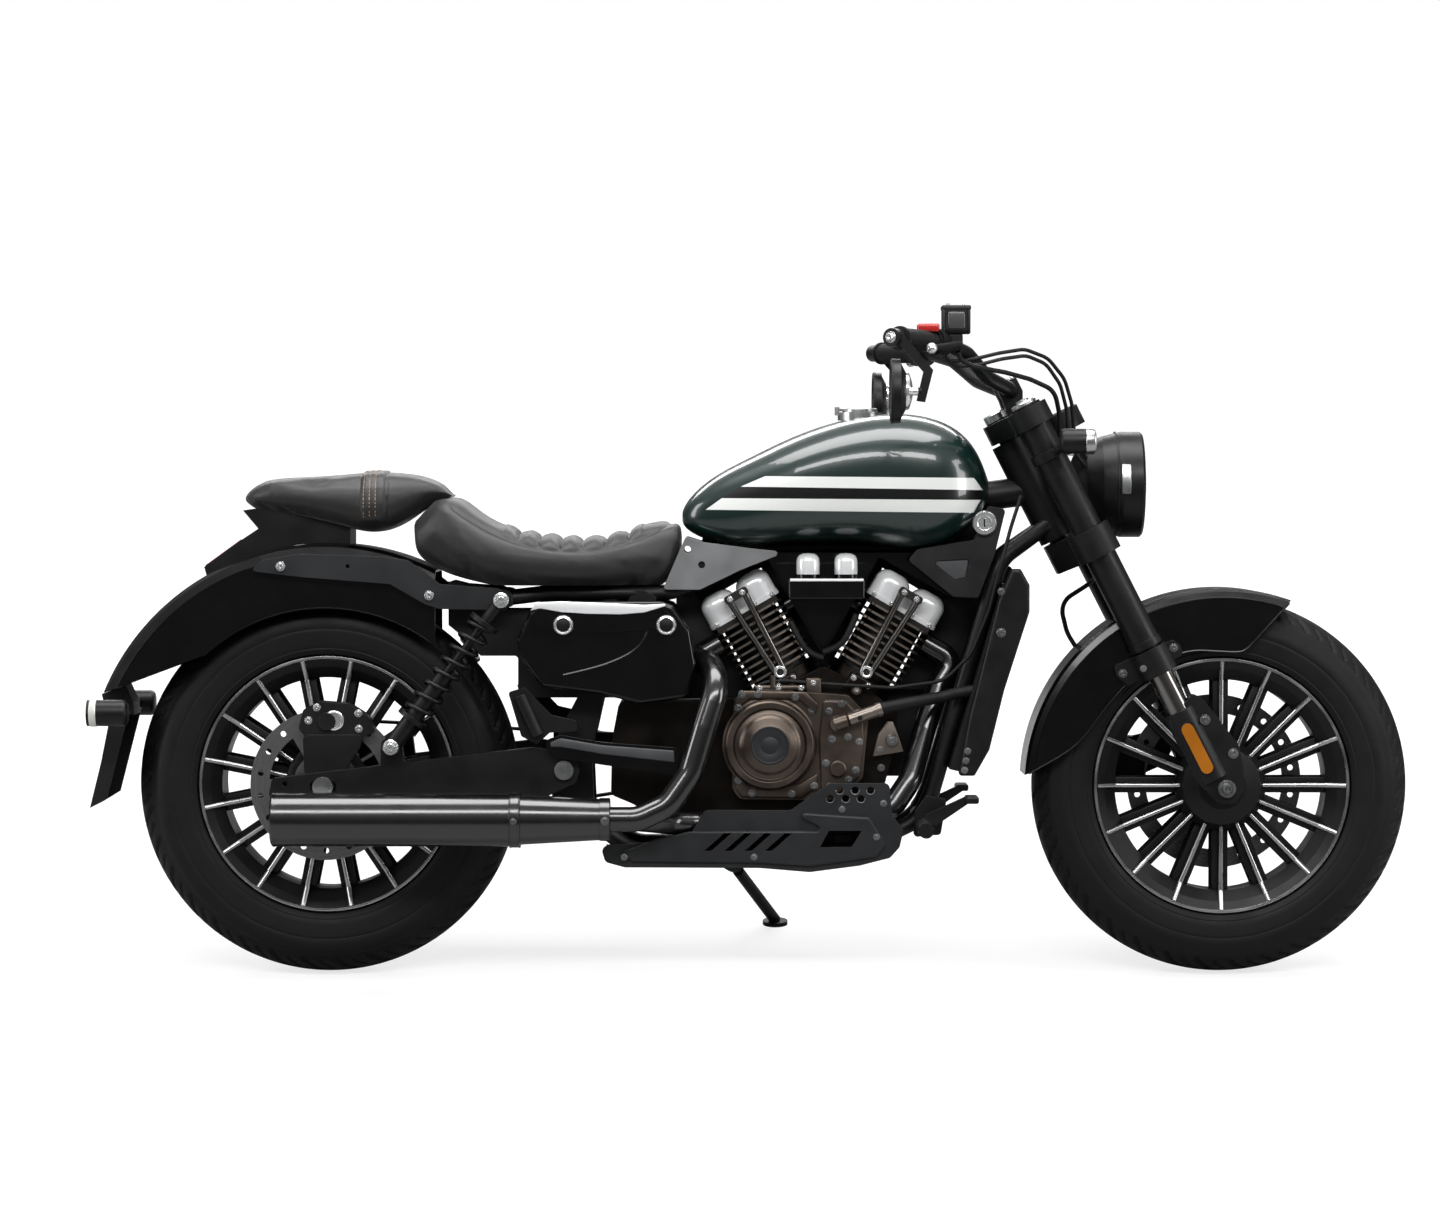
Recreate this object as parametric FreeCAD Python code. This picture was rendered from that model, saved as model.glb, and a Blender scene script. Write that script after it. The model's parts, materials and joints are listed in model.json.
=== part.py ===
import FreeCAD, Part
import math
import os

# A V-twin cruiser motorcycle with twin rear shocks, cast sixteen-spoke wheels and an upside-down fork.
# The pieces are laid out upright: +X forward, +Y to the rider's left, +Z up, the origin on the floor
# below the rear axle. At the end the whole machine is leaned onto its side stand.

V = FreeCAD.Vector

# Driving dimensions, in millimetres and degrees
WHEELBASE = 1520.0
RAKE = 27.0
LEAN = 10.0
FIT_GAP = 0.3

REAR_TYRE_R = 324.0
REAR_TYRE_W = 150.0
FRONT_TYRE_R = 320.0
FRONT_TYRE_W = 130.0
CROWN_R = 70.0
RIM_LIP_R = 217.0
BEAD_R = 205.0
RIM_WELL_R = 184.0
RIM_FLANGE_T = 7.0
SPOKES = 16
SPOKE_T = 8.0
AXLE_R = 10.0
SPACER_R = 17.0
FRONT_HUB_R = 77.0
FRONT_DISC_R = 150.0
REAR_DISC_R = 128.0
DISC_T = 5.0
FRONT_DISC_Y = 70.0
REAR_DISC_Y = -84.0

STEM_OFFSET = 56.0
LEG_OFFSET = 11.0
LEG_Y = 110.0
LEG_R = 27.0
STANCHION_R = 20.5
LEG_BOTTOM = 272.0
FENDER_CLAMP_Z = 222.0
FENDER_CLAMP_T = 46.0
LOWER_CLAMP_Z = 445.0
LOWER_CLAMP_T = 50.0
UPPER_CLAMP_Z = 690.0
UPPER_CLAMP_T = 34.0
STEM_R = 14.7
HEAD_TUBE_R = 30.0

FENDER_T = 3.0
FRONT_FENDER_GAP = 16.0
FRONT_FENDER_HALF_W = 78.0
REAR_FENDER_R = 408.0
REAR_FENDER_Z = 324.0
REAR_FENDER_HALF_W = 98.0

ARM_IN_Y = 118.0
ARM_OUT_Y = 142.0
BOBBIN = (-64.0, 5.0)
BOBBIN_R = 4.25
BOBBIN_DEPTH = 16.0
PIVOT_X = 405.0
PIVOT_Z = 352.0
BELT_Y = 99.0
BELT_W = 26.0
BELT_T = 5.0
REAR_PULLEY_R = 98.0
FRONT_PULLEY_R = 42.0
FRONT_PULLEY_X = 545.0
FRONT_PULLEY_Z = 352.0

CRANK_X = 842.0
CRANK_Z = 388.0
BANK_ANGLE = 30.0
FIN_PITCH = 12.5
FIN_T = 4.0
FINS = 9
FIN_START = 150.0
FIN_HALF = 63.0
BORE_R = 50.0
CASE_HALF_W = 75.0
PUSHROD_Y = 72.0
COVER_DEPTH = 24.0
COVER_TOP = 486.0
HOSE_R = 10.0
HOSE_Y = -118.0
COVER_IN_Y = 78.0
COVER_T = 6.0

RAIL_Y = 98.0
RAIL_Z = 212.0
RAIL_R = 14.0
DOWNTUBE_Y = 60.0
TUBE_SLOPE = 0.2924
BACKBONE_R = 25.0
PLATE_IN_Y = 62.0
PLATE_OUT_Y = 80.0

CAP_X = 906.0
LID_R = 30.0
NECK_R = 38.0

MUFFLER_R = 45.0
OUTLET_R = 27.0
NECK_END_X = 478.0
PORT_Z = 236.0
MUFFLER_Y = -195.0
MUFFLER_Z = 273.0
HEADER_R = 21.0

RACK = (40.0, 694.0)
RACK_R = 3.4
RACK_DEPTH = 12.0
SHOCK_Y = 158.0
SHOCK_EYE_HALF = 11.0
SHOCK_TOP = (301.0, 638.0)
SHOCK_BOTTOM = (116.0, 392.0)

BAR_SEAT = (-17.0, 762.0)
BAR_R = 12.7
GRIP_R = 17.0
MIRROR_R = 52.0
HEADLAMP_R = 90.0
HEADLAMP_SETBACK = 133.0
HEADLAMP_Z = 832.0

PLATE_HOLE_R = 3.3
PLATE_HOLE_Y = 60.0
PLATE_HOLE_Z = 410.0
SEAT_BASE_Z = 660.0
BATTERY_Z = 470.0

PAN_BULGE = 6.0

STAND_PIVOT = (690.0, 136.0, 170.0)
STAND_FOOT = (765.0, 290.0)
STAND_R = 12.0
STAND_CLEAR = 24.0


def box(x0, x1, y0, y1, z0, z1):
    return Part.makeBox(x1 - x0, y1 - y0, z1 - z0, V(x0, y0, z0))


def rod(start, end, radius):
    a = V(*start)
    b = V(*end)
    return Part.makeCylinder(radius, a.distanceToPoint(b), a, b - a)


def cone(start, end, radius_a, radius_b):
    a = V(*start)
    b = V(*end)
    return Part.makeCone(radius_a, radius_b, a.distanceToPoint(b), a, b - a)


def cross_rod(x, z, y0, y1, radius):
    return Part.makeCylinder(radius, y1 - y0, V(x, y0, z), V(0, 1, 0))


def fuse(shapes):
    joined = shapes[0].fuse(shapes[1:]) if len(shapes) > 1 else shapes[0]
    return joined.removeSplitter()


def side_face(points, y=0.0):
    """A flat face in side view from (x, z) corners."""
    corners = [V(x, y, z) for x, z in points]
    return Part.Face(Part.makePolygon(corners + corners[:1]))


def side_plate(points, y0, y1):
    """A plate cut to a side outline, from y0 to y1."""
    return side_face(points, y0).extrude(V(0, y1 - y0, 0))


def rounded_plate(points, y0, y1, corner):
    """A side plate whose corners across the machine are rounded."""
    plate = side_plate(points, y0, y1)
    upright = [e for e in plate.Edges if abs(e.tangentAt(e.FirstParameter).y) > 0.99]
    return plate.makeFillet(corner, upright)


def soften(solid, radius, pick):
    """Round the edges of a solid for which pick is true."""
    return solid.makeFillet(radius, [e for e in solid.Edges if pick(e)])


def at_y(y):
    return lambda e: abs(e.BoundBox.YMin - y) < 0.01 and abs(e.BoundBox.YMax - y) < 0.01


def mirrored(shape):
    return shape.mirror(V(0, 0, 0), V(0, 1, 0))


def ring_profile(points, angle=360.0, start=0.0, centre=(0.0, 0.0)):
    """Turn an outline of (radius, y) points about the line across the machine at centre."""
    cx, cz = centre
    corners = [V(cx + r, y, cz) for r, y in points]
    face = Part.Face(Part.makePolygon(corners + corners[:1]))
    face.rotate(V(cx, 0, cz), V(0, -1, 0), start)
    return face.revolve(V(cx, 0, cz), V(0, -1, 0), angle)


def bent_tube(points, radius, bend):
    """A round tube along straight runs joined by tangent arcs."""
    route = [V(*p) for p in points]
    edges = []
    last = route[0]
    for before, corner, after in zip(route, route[1:], route[2:]):
        to_before = (before - corner).normalize()
        to_after = (after - corner).normalize()
        half = to_before.getAngle(to_after) / 2
        room = 0.45 * min((before - corner).Length, (after - corner).Length)
        cut = min(bend / math.tan(half), room)
        arc_r = cut * math.tan(half)
        start = corner + to_before * cut
        end = corner + to_after * cut
        middle_way = (to_before + to_after).normalize()
        mid = corner + middle_way * (arc_r / math.sin(half) - arc_r)
        edges.append(Part.makeLine(last, start))
        edges.append(Part.Arc(start, mid, end).toShape())
        last = end
    edges.append(Part.makeLine(last, route[-1]))
    path = Part.Wire(edges)
    disc = Part.Wire([Part.makeCircle(radius, route[0], route[1] - route[0])])
    return path.makePipeShell([disc], True, True)


def oval_section(x, low, high, half_width, power):
    """A closed smooth cross-section, squarer as the power grows."""
    steps = 16
    points = []
    for i in range(steps):
        angle = 2 * math.pi * i / steps
        c = math.cos(angle)
        s = math.sin(angle)
        y = half_width * math.copysign(abs(c) ** (2 / power), c)
        z = (low + high) / 2 + (high - low) / 2 * math.copysign(abs(s) ** (2 / power), s)
        points.append(V(x, y, z))
    curve = Part.BSplineCurve()
    curve.interpolate(Points=points, PeriodicFlag=True)
    return Part.Wire([curve.toShape()])


def lofted(sections, power=2.8):
    return Part.makeLoft([oval_section(*s, power) for s in sections], True, False)


def fork_place(shape):
    """Move a piece from the fork's own frame (origin on the front axle, Z up the legs) to the bike's."""
    shape = shape.copy()
    shape.Placement = FreeCAD.Placement(
        V(WHEELBASE, 0, FRONT_TYRE_R), FreeCAD.Rotation(V(0, 1, 0), -RAKE)
    ).multiply(shape.Placement)
    return shape


def fork_point(x, y, z):
    turn = FreeCAD.Rotation(V(0, 1, 0), -RAKE)
    moved = turn.multVec(V(x, y, z)) + V(WHEELBASE, 0, FRONT_TYRE_R)
    return (moved.x, moved.y, moved.z)


def from_axle(points):
    """Points whose x is measured from the front axle, in the bike's frame."""
    return [(WHEELBASE + point[0],) + tuple(point[1:]) for point in points]


# Wheels

def tyre(centre, radius, width):
    cx, cz = centre
    flange_in = width / 2 - 17
    half = width / 2
    crown_turn = math.radians(55)
    shoulder_y = CROWN_R * math.sin(crown_turn)
    shoulder_r = radius - CROWN_R + CROWN_R * math.cos(crown_turn)
    bead_y = flange_in - FIT_GAP
    bead_r = BEAD_R + FIT_GAP
    over_r = RIM_LIP_R + 1
    side_r = radius - 60

    def p(r, y):
        return V(cx + r, y, cz)

    edges = [
        Part.makeLine(p(bead_r, -bead_y), p(over_r, -bead_y)),
        Part.makeLine(p(over_r, -bead_y), p(over_r + 5, -half + 5)),
        Part.Arc(p(over_r + 5, -half + 5), p(side_r, -half), p(shoulder_r, -shoulder_y)).toShape(),
        Part.Arc(p(shoulder_r, -shoulder_y), p(radius, 0), p(shoulder_r, shoulder_y)).toShape(),
        Part.Arc(p(shoulder_r, shoulder_y), p(side_r, half), p(over_r + 5, half - 5)).toShape(),
        Part.makeLine(p(over_r + 5, half - 5), p(over_r, bead_y)),
        Part.makeLine(p(over_r, bead_y), p(bead_r, bead_y)),
        Part.makeLine(p(bead_r, bead_y), p(bead_r, -bead_y)),
    ]
    face = Part.Face(Part.Wire(edges))
    return face.revolve(V(cx, 0, cz), V(0, 1, 0), 360)


def rim(centre, width, hub, turn):
    """A cast wheel: barrel, sixteen deep webs and a hub, in one casting."""
    cx, cz = centre
    edge = width / 2 - 10
    seat = edge - RIM_FLANGE_T
    barrel = ring_profile([
        (RIM_WELL_R - 4, -seat + 14), (RIM_WELL_R - 4, seat - 14), (BEAD_R - 7, seat),
        (RIM_LIP_R - 4, edge), (RIM_LIP_R, edge), (RIM_LIP_R, seat), (BEAD_R, seat),
        (BEAD_R, seat - 12), (RIM_WELL_R + 3, seat - 26), (RIM_WELL_R + 3, -seat + 26),
        (BEAD_R, -seat + 12), (BEAD_R, -seat), (RIM_LIP_R, -seat), (RIM_LIP_R, -edge),
        (RIM_LIP_R - 4, -edge), (BEAD_R - 7, -seat)], centre=centre)
    hub_right, hub_left, hub_outline = hub
    middle = ring_profile(hub_outline, centre=centre)
    root = 45.0
    web_face = Part.Face(Part.makePolygon([
        V(cx + root, hub_right + 8, cz - SPOKE_T / 2), V(cx + RIM_WELL_R - 2, -seat + 6, cz - SPOKE_T / 2),
        V(cx + BEAD_R - 5, -seat + 1, cz - SPOKE_T / 2), V(cx + BEAD_R - 5, -seat + 6, cz - SPOKE_T / 2),
        V(cx + RIM_WELL_R - 2, -seat + 16, cz - SPOKE_T / 2), V(cx + RIM_WELL_R - 2, seat - 16, cz - SPOKE_T / 2),
        V(cx + BEAD_R - 5, seat - 6, cz - SPOKE_T / 2), V(cx + BEAD_R - 5, seat - 1, cz - SPOKE_T / 2),
        V(cx + RIM_WELL_R - 2, seat - 6, cz - SPOKE_T / 2), V(cx + root, hub_left - 8, cz - SPOKE_T / 2),
        V(cx + root, hub_right + 8, cz - SPOKE_T / 2)]))
    web = web_face.extrude(V(0, 0, SPOKE_T))
    webs = []
    for i in range(SPOKES):
        one = web.copy()
        one.rotate(V(cx, 0, cz), V(0, -1, 0), turn + i * 360.0 / SPOKES)
        webs.append(one)
    wheel = barrel.fuse([middle] + webs)
    bore = cross_rod(cx, cz, -120, 120, AXLE_R + FIT_GAP)
    return wheel.cut(bore)


def brake_disc(centre, y, radius, hub_r, arms):
    """A drilled disc on a star carrier that seats on the hub."""
    cx, cz = centre
    half = DISC_T / 2
    band = ring_profile([(radius - 32, y - half), (radius, y - half), (radius, y + half),
                         (radius - 32, y + half)], centre=centre)
    carrier = ring_profile([(AXLE_R + 8, y - half), (hub_r, y - half), (hub_r, y + half),
                            (AXLE_R + 8, y + half)], centre=centre)
    pieces = [band, carrier]
    for i in range(arms):
        arm = box(cx + hub_r - 6, cx + radius - 28, y - half, y + half, cz - 9, cz + 9)
        arm.rotate(V(cx, 0, cz), V(0, 1, 0), i * 360.0 / arms)
        pieces.append(arm)
    disc = fuse(pieces)
    holes = []
    for i in range(arms * 3):
        hole = cross_rod(cx + radius - 16, cz, y - half - 1, y + half + 1, 5.0)
        hole.rotate(V(cx, 0, cz), V(0, 1, 0), (i + 0.5) * 120.0 / arms)
        holes.append(hole)
    return disc.cut(holes)


def front_wheel():
    centre = (WHEELBASE, FRONT_TYRE_R)
    right = -62.0
    left = FRONT_DISC_Y - DISC_T / 2 - FIT_GAP
    hub_outline = [(AXLE_R, right), (40, right), (66, right + 8), (FRONT_HUB_R, right + 24),
                   (FRONT_HUB_R, right + 38), (48, right + 48), (42, left - 26), (58, left - 8),
                   (58, left), (AXLE_R, left)]
    return {
        "front_tyre": tyre(centre, FRONT_TYRE_R, FRONT_TYRE_W),
        "front_rim": rim(centre, FRONT_TYRE_W, (right + 10, left - 14, hub_outline), 90.0),
        "front_brake_disc": brake_disc(centre, FRONT_DISC_Y, FRONT_DISC_R, 58.0, 6),
    }


def rear_wheel():
    centre = (0.0, REAR_TYRE_R)
    right = REAR_DISC_Y + DISC_T / 2 + FIT_GAP
    left = BELT_Y - BELT_W / 2 - 2 - FIT_GAP
    hub_outline = [(AXLE_R, right), (56, right), (56, right + 8), (70, right + 22), (72, right + 40),
                   (48, right + 52), (46, left - 34), (60, left - 10), (60, left), (AXLE_R, left)]
    pulley_y0 = BELT_Y - BELT_W / 2 - 2
    pulley_y1 = BELT_Y + BELT_W / 2 + 2
    seat_r = REAR_PULLEY_R
    pulley = ring_profile([(AXLE_R + 8, pulley_y0), (seat_r + 4, pulley_y0), (seat_r + 4, pulley_y0 + 2),
                           (seat_r, pulley_y0 + 2), (seat_r, pulley_y1), (seat_r - 12, pulley_y1),
                           (seat_r - 16, pulley_y0 + 8), (40, pulley_y0 + 8), (34, pulley_y1 - 8),
                           (AXLE_R + 8, pulley_y1 - 8)], centre=centre)
    windows = []
    for i in range(6):
        hole = cross_rod(62, REAR_TYRE_R, pulley_y0 - 1, pulley_y1 + 1, 13.0)
        hole.rotate(V(0, 0, REAR_TYRE_R), V(0, 1, 0), i * 60.0)
        windows.append(hole)
    return {
        "rear_tyre": tyre(centre, REAR_TYRE_R, REAR_TYRE_W),
        "rear_rim": rim(centre, REAR_TYRE_W, (right + 14, left - 18, hub_outline), 78.75),
        "rear_brake_disc": brake_disc(centre, REAR_DISC_Y, REAR_DISC_R, 56.0, 6),
        "rear_pulley": pulley.cut(windows),
    }


# Frame

def tunnel_roof(x):
    """The height of the tank's tunnel over the backbone."""
    return 778.0 + 0.1236 * (x - 590.0)


def downtube_x(z):
    """Where the middle of a downtube stands at a height."""
    return 1142.0 - TUBE_SLOPE * (704.0 - z)


def main_frame():
    head_low = fork_point(-STEM_OFFSET, 0, LOWER_CLAMP_Z + LOWER_CLAMP_T + 5)
    head_high = fork_point(-STEM_OFFSET, 0, UPPER_CLAMP_Z - 5)
    pieces = [rod(head_low, head_high, HEAD_TUBE_R)]
    head_mid = [(a + b) / 2 for a, b in zip(head_low, head_high)]
    pieces.append(rod((head_mid[0], 0, head_mid[2]), (640, 0, 748), BACKBONE_R))
    for side in (-1, 1):
        down = DOWNTUBE_Y * side
        rail = RAIL_Y * side
        pieces.append(bent_tube([
            (head_low[0] - 8, 12 * side, head_low[2] + 30), (downtube_x(704), down, 704),
            (downtube_x(310), down, 310), (1004, down, 262), (890, rail, RAIL_Z),
            (520, rail, RAIL_Z), (440, (PLATE_OUT_Y - 8) * side, 270)], RAIL_R, 60))
        inner = PLATE_IN_Y * side
        outer = PLATE_OUT_Y * side
        pieces.append(side_plate([(382, 300), (420, 250), (455, 262), (450, 380), (470, 470),
                                  (560, 640), (540, 652), (520, 652), (440, 500), (388, 400)],
                                 min(inner, outer), max(inner, outer)))
        pieces.append(bent_tube([(300, 84 * side, SHOCK_TOP[1]), (380, 80 * side, SEAT_BASE_Z - 12.3),
                                 (600, 62 * side, SEAT_BASE_Z - 12.3), (690, 10 * side, 748)], 12, 60))
        pieces.append(rod((SHOCK_TOP[0], 84 * side, SHOCK_TOP[1]),
                          (SHOCK_TOP[0], REAR_FENDER_HALF_W * side, SHOCK_TOP[1]), 17))
    pieces.append(cross_rod(SHOCK_TOP[0], SHOCK_TOP[1], -84, 84, 12))
    pieces.append(cross_rod(480, 636, -78, 78, 12))
    pieces.append(cross_rod(445, 275, -PLATE_IN_Y, PLATE_IN_Y, 14))
    pieces.append(cross_rod(1006, 266, -DOWNTUBE_Y, DOWNTUBE_Y, 12))
    pieces.append(box(424, 466, -PLATE_IN_Y - 1, PLATE_IN_Y + 1, 460, BATTERY_Z - FIT_GAP))
    for x in (700, 1060):
        pieces.append(side_plate([(x, 770), (x + 40, 770), (x + 40, tunnel_roof(x + 40) - FIT_GAP),
                                  (x, tunnel_roof(x) - FIT_GAP)], -14, 14))
    pieces.append(side_plate([(1050, 780), (1150, 780), (1126, 684), (1084, 684)], -12, 12))
    pieces.append(side_plate([(584, 642), (640, 650), (742, 708), (764, 748), (640, 748), (606, 656)], -6, 6))
    for x, z in ((1104, 700), (636, 696)):
        pieces.append(cross_rod(x, z, -COVER_IN_Y + FIT_GAP, COVER_IN_Y - FIT_GAP, 9))
    for x in (640, 860):
        for y0 in (CASE_HALF_W + FIT_GAP, -CASE_HALF_W - FIT_GAP - 14):
            pieces.append(box(x, x + 28, y0, y0 + 14, RAIL_Z, 240))
    pieces += stand_bracket()
    frame = fuse(pieces)
    frame = frame.cut(rod(fork_point(-STEM_OFFSET, 0, 400), fork_point(-STEM_OFFSET, 0, 800),
                          STEM_R + 0.5))
    return frame.cut(cross_rod(PIVOT_X, PIVOT_Z, -120, 120, AXLE_R + FIT_GAP))


def head_gusset(side):
    """The cast plate beside the head tube, with its sunk triangular window."""
    outline = [(985, 704), (1062, 642), (1104, 640), (1132, 715), (1150, 790), (1120, 796), (1096, 738),
               (1000, 722)]
    plate = rounded_plate(outline, -COVER_IN_Y - COVER_T, -COVER_IN_Y, 6)
    window = rounded_plate([(1022, 702), (1064, 668), (1084, 672), (1090, 706)],
                           -COVER_IN_Y - COVER_T - 1, -COVER_IN_Y - 3, 6)
    plate = plate.cut(window)
    return mirrored(plate) if side > 0 else plate


def seat_plate(side):
    """The cover between seat nose and tank, with two bosses' holes."""
    outline = [(570, 654), (633, 654), (701, 687), (780, 718), (735, 722), (640, 734), (609, 744)]
    plate = rounded_plate(outline, -COVER_IN_Y - COVER_T, -COVER_IN_Y, 5)
    for x, z in ((612, 722), (636, 696)):
        plate = plate.cut(cross_rod(x, z, -90, -70, 6))
    return mirrored(plate) if side > 0 else plate


def swingarm():
    z = REAR_TYRE_R
    lug_x, lug_z = SHOCK_BOTTOM
    arms = []
    for side in (-1, 1):
        y0, y1 = sorted((ARM_IN_Y * side, ARM_OUT_Y * side))
        arm = rounded_plate([(-92, z - 18), (-60, z - 26), (PIVOT_X - 45, PIVOT_Z - 52),
                             (PIVOT_X + 20, PIVOT_Z - 22), (PIVOT_X + 27, PIVOT_Z), (PIVOT_X + 20, PIVOT_Z + 26),
                             (PIVOT_X - 53, PIVOT_Z + 38), (-40, z + 20), (-86, z + 14)], y0, y1, 8)
        slot_low = z - AXLE_R - FIT_GAP
        slot_high = z + AXLE_R + FIT_GAP
        arm = arm.cut(rounded_plate([(-22, slot_low), (22, slot_low), (22, slot_high), (-22, slot_high)],
                                    y0 - 1, y1 + 1, AXLE_R))
        hole = sorted(((ARM_OUT_Y - BOBBIN_DEPTH) * side, (ARM_OUT_Y + 1) * side))
        arm = arm.cut(cross_rod(BOBBIN[0], z + BOBBIN[1], hole[0], hole[1], BOBBIN_R))
        arms.append(arm)
        boss = sorted((ARM_IN_Y * side, (PLATE_OUT_Y + FIT_GAP) * side))
        arms.append(cross_rod(PIVOT_X, PIVOT_Z, boss[0], boss[1], 24))
        lug = rounded_plate([(lug_x - 20, lug_z - 42), (lug_x + 22, lug_z - 40), (lug_x + 16, lug_z + 8),
                             (lug_x + 6, lug_z + 16), (lug_x - 8, lug_z + 16), (lug_x - 18, lug_z + 8)], y0, y1, 6)
        arms.append(lug)
        stud = sorted((ARM_OUT_Y * side, (SHOCK_Y + SHOCK_EYE_HALF + 2) * side))
        arms.append(cross_rod(SHOCK_BOTTOM[0], SHOCK_BOTTOM[1], stud[0], stud[1], 7))
    arms.append(box(PIVOT_X - 69, PIVOT_X - 39, -ARM_IN_Y - 1, ARM_IN_Y + 1, PIVOT_Z - 36, PIVOT_Z + 24))
    body = fuse(arms)
    return body.cut(cross_rod(PIVOT_X, PIVOT_Z, -160, 160, AXLE_R + FIT_GAP))


def pivot_shaft():
    shaft = cross_rod(PIVOT_X, PIVOT_Z, -ARM_OUT_Y - 8, ARM_OUT_Y + 8, AXLE_R)
    heads = []
    for side in (-1, 1):
        y0, y1 = sorted(((ARM_OUT_Y + FIT_GAP) * side, (ARM_OUT_Y + 8) * side))
        heads.append(cross_rod(PIVOT_X, PIVOT_Z, y0, y1, 16))
    return fuse([shaft] + heads)


def rear_axle():
    z = REAR_TYRE_R
    pieces = [cross_rod(0, z, -ARM_OUT_Y - 12, ARM_OUT_Y + 12, AXLE_R)]
    for side in (-1, 1):
        y0, y1 = sorted(((ARM_OUT_Y + FIT_GAP) * side, (ARM_OUT_Y + 12) * side))
        pieces.append(cross_rod(0, z, y0, y1, 17))
    pieces.append(cross_rod(0, z, -ARM_IN_Y + FIT_GAP, REAR_DISC_Y - DISC_T / 2 - 3, SPACER_R))
    pieces.append(cross_rod(0, z, BELT_Y + BELT_W / 2 + 3, ARM_IN_Y - FIT_GAP, SPACER_R))
    return fuse(pieces)


def rear_caliper():
    """Two halves over the disc on a bracket that sits on the axle and the arm."""
    disc_in = REAR_DISC_Y + DISC_T / 2 + 3
    disc_out = REAR_DISC_Y - DISC_T / 2 - 3
    z = REAR_TYRE_R
    top = z + REAR_DISC_R
    outline = [(-44, top - 32), (-36, top), (-10, top + 14), (40, top + 10), (72, top - 10), (86, top - 38),
               (60, top - 49), (-30, top - 49)]
    body = rounded_plate(outline, disc_out - 22.5, disc_in + 16.5, 8)
    slot = cross_rod(0, z, disc_out, disc_in, REAR_DISC_R + 4)
    body = body.cut(slot)
    bracket = rounded_plate([(-26, z - 22), (26, z - 22), (34, z + 26), (60, top - 64), (66, top - 42),
                             (-36, top - 42), (-34, z + 26)], -ARM_IN_Y + FIT_GAP, -104, 8)
    bracket = bracket.cut(cross_rod(0, z, -120, -100, SPACER_R + FIT_GAP))
    piston = cross_rod(4, top - 20, -ARM_IN_Y + FIT_GAP, -110, 15)
    return fuse([body, bracket, piston])


def belt():
    """The drive belt round both pulleys, its long runs straight and tangent to them."""
    x1, z1, r1 = 0.0, REAR_TYRE_R, REAR_PULLEY_R + FIT_GAP
    x2, z2, r2 = FRONT_PULLEY_X, FRONT_PULLEY_Z, FRONT_PULLEY_R + FIT_GAP

    def loop(grow):
        ra = r1 + grow
        rb = r2 + grow
        run = math.hypot(x2 - x1, z2 - z1)
        tilt = math.atan2(z2 - z1, x2 - x1)
        lean = math.acos((ra - rb) / run)
        up = tilt + lean
        down = tilt - lean

        def p(x, z, r, a):
            return V(x + r * math.cos(a), BELT_Y - BELT_W / 2, z + r * math.sin(a))

        return Part.Wire([
            Part.makeLine(p(x1, z1, ra, up), p(x2, z2, rb, up)),
            Part.Arc(p(x2, z2, rb, up), p(x2, z2, rb, tilt), p(x2, z2, rb, down)).toShape(),
            Part.makeLine(p(x2, z2, rb, down), p(x1, z1, ra, down)),
            Part.Arc(p(x1, z1, ra, down), p(x1, z1, ra, tilt + math.pi), p(x1, z1, ra, up)).toShape(),
        ])

    outer = Part.Face(loop(BELT_T)).extrude(V(0, BELT_W, 0))
    inner = Part.Face(loop(0.0)).extrude(V(0, BELT_W, 0))
    return outer.cut(inner)


def front_pulley():
    y0 = BELT_Y - BELT_W / 2
    pulley = cross_rod(FRONT_PULLEY_X, FRONT_PULLEY_Z, y0, y0 + BELT_W, FRONT_PULLEY_R)
    shaft = cross_rod(FRONT_PULLEY_X, FRONT_PULLEY_Z, CASE_HALF_W + FIT_GAP, y0 + BELT_W + 6, 14)
    return fuse([pulley, shaft])


def pulley_cover():
    """The cast cover over the front pulley, open behind for the belt."""
    y0 = CASE_HALF_W + FIT_GAP
    y1 = BELT_Y + BELT_W / 2 + 16
    outline = [(500, 300), (520, 288), (590, 296), (618, 340), (612, 400), (580, 424), (505, 420)]
    shell = rounded_plate(outline, y0, y1, 12)
    hollow = side_plate([(480, 290), (560, 292), (594, 320), (596, 380), (565, 412), (480, 412)],
                        y0 + 6, y1 - 4)
    shaft_hole = cross_rod(FRONT_PULLEY_X, FRONT_PULLEY_Z, y0 - 1, y0 + 8, 16)
    return shell.cut([hollow, shaft_hole])


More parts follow.
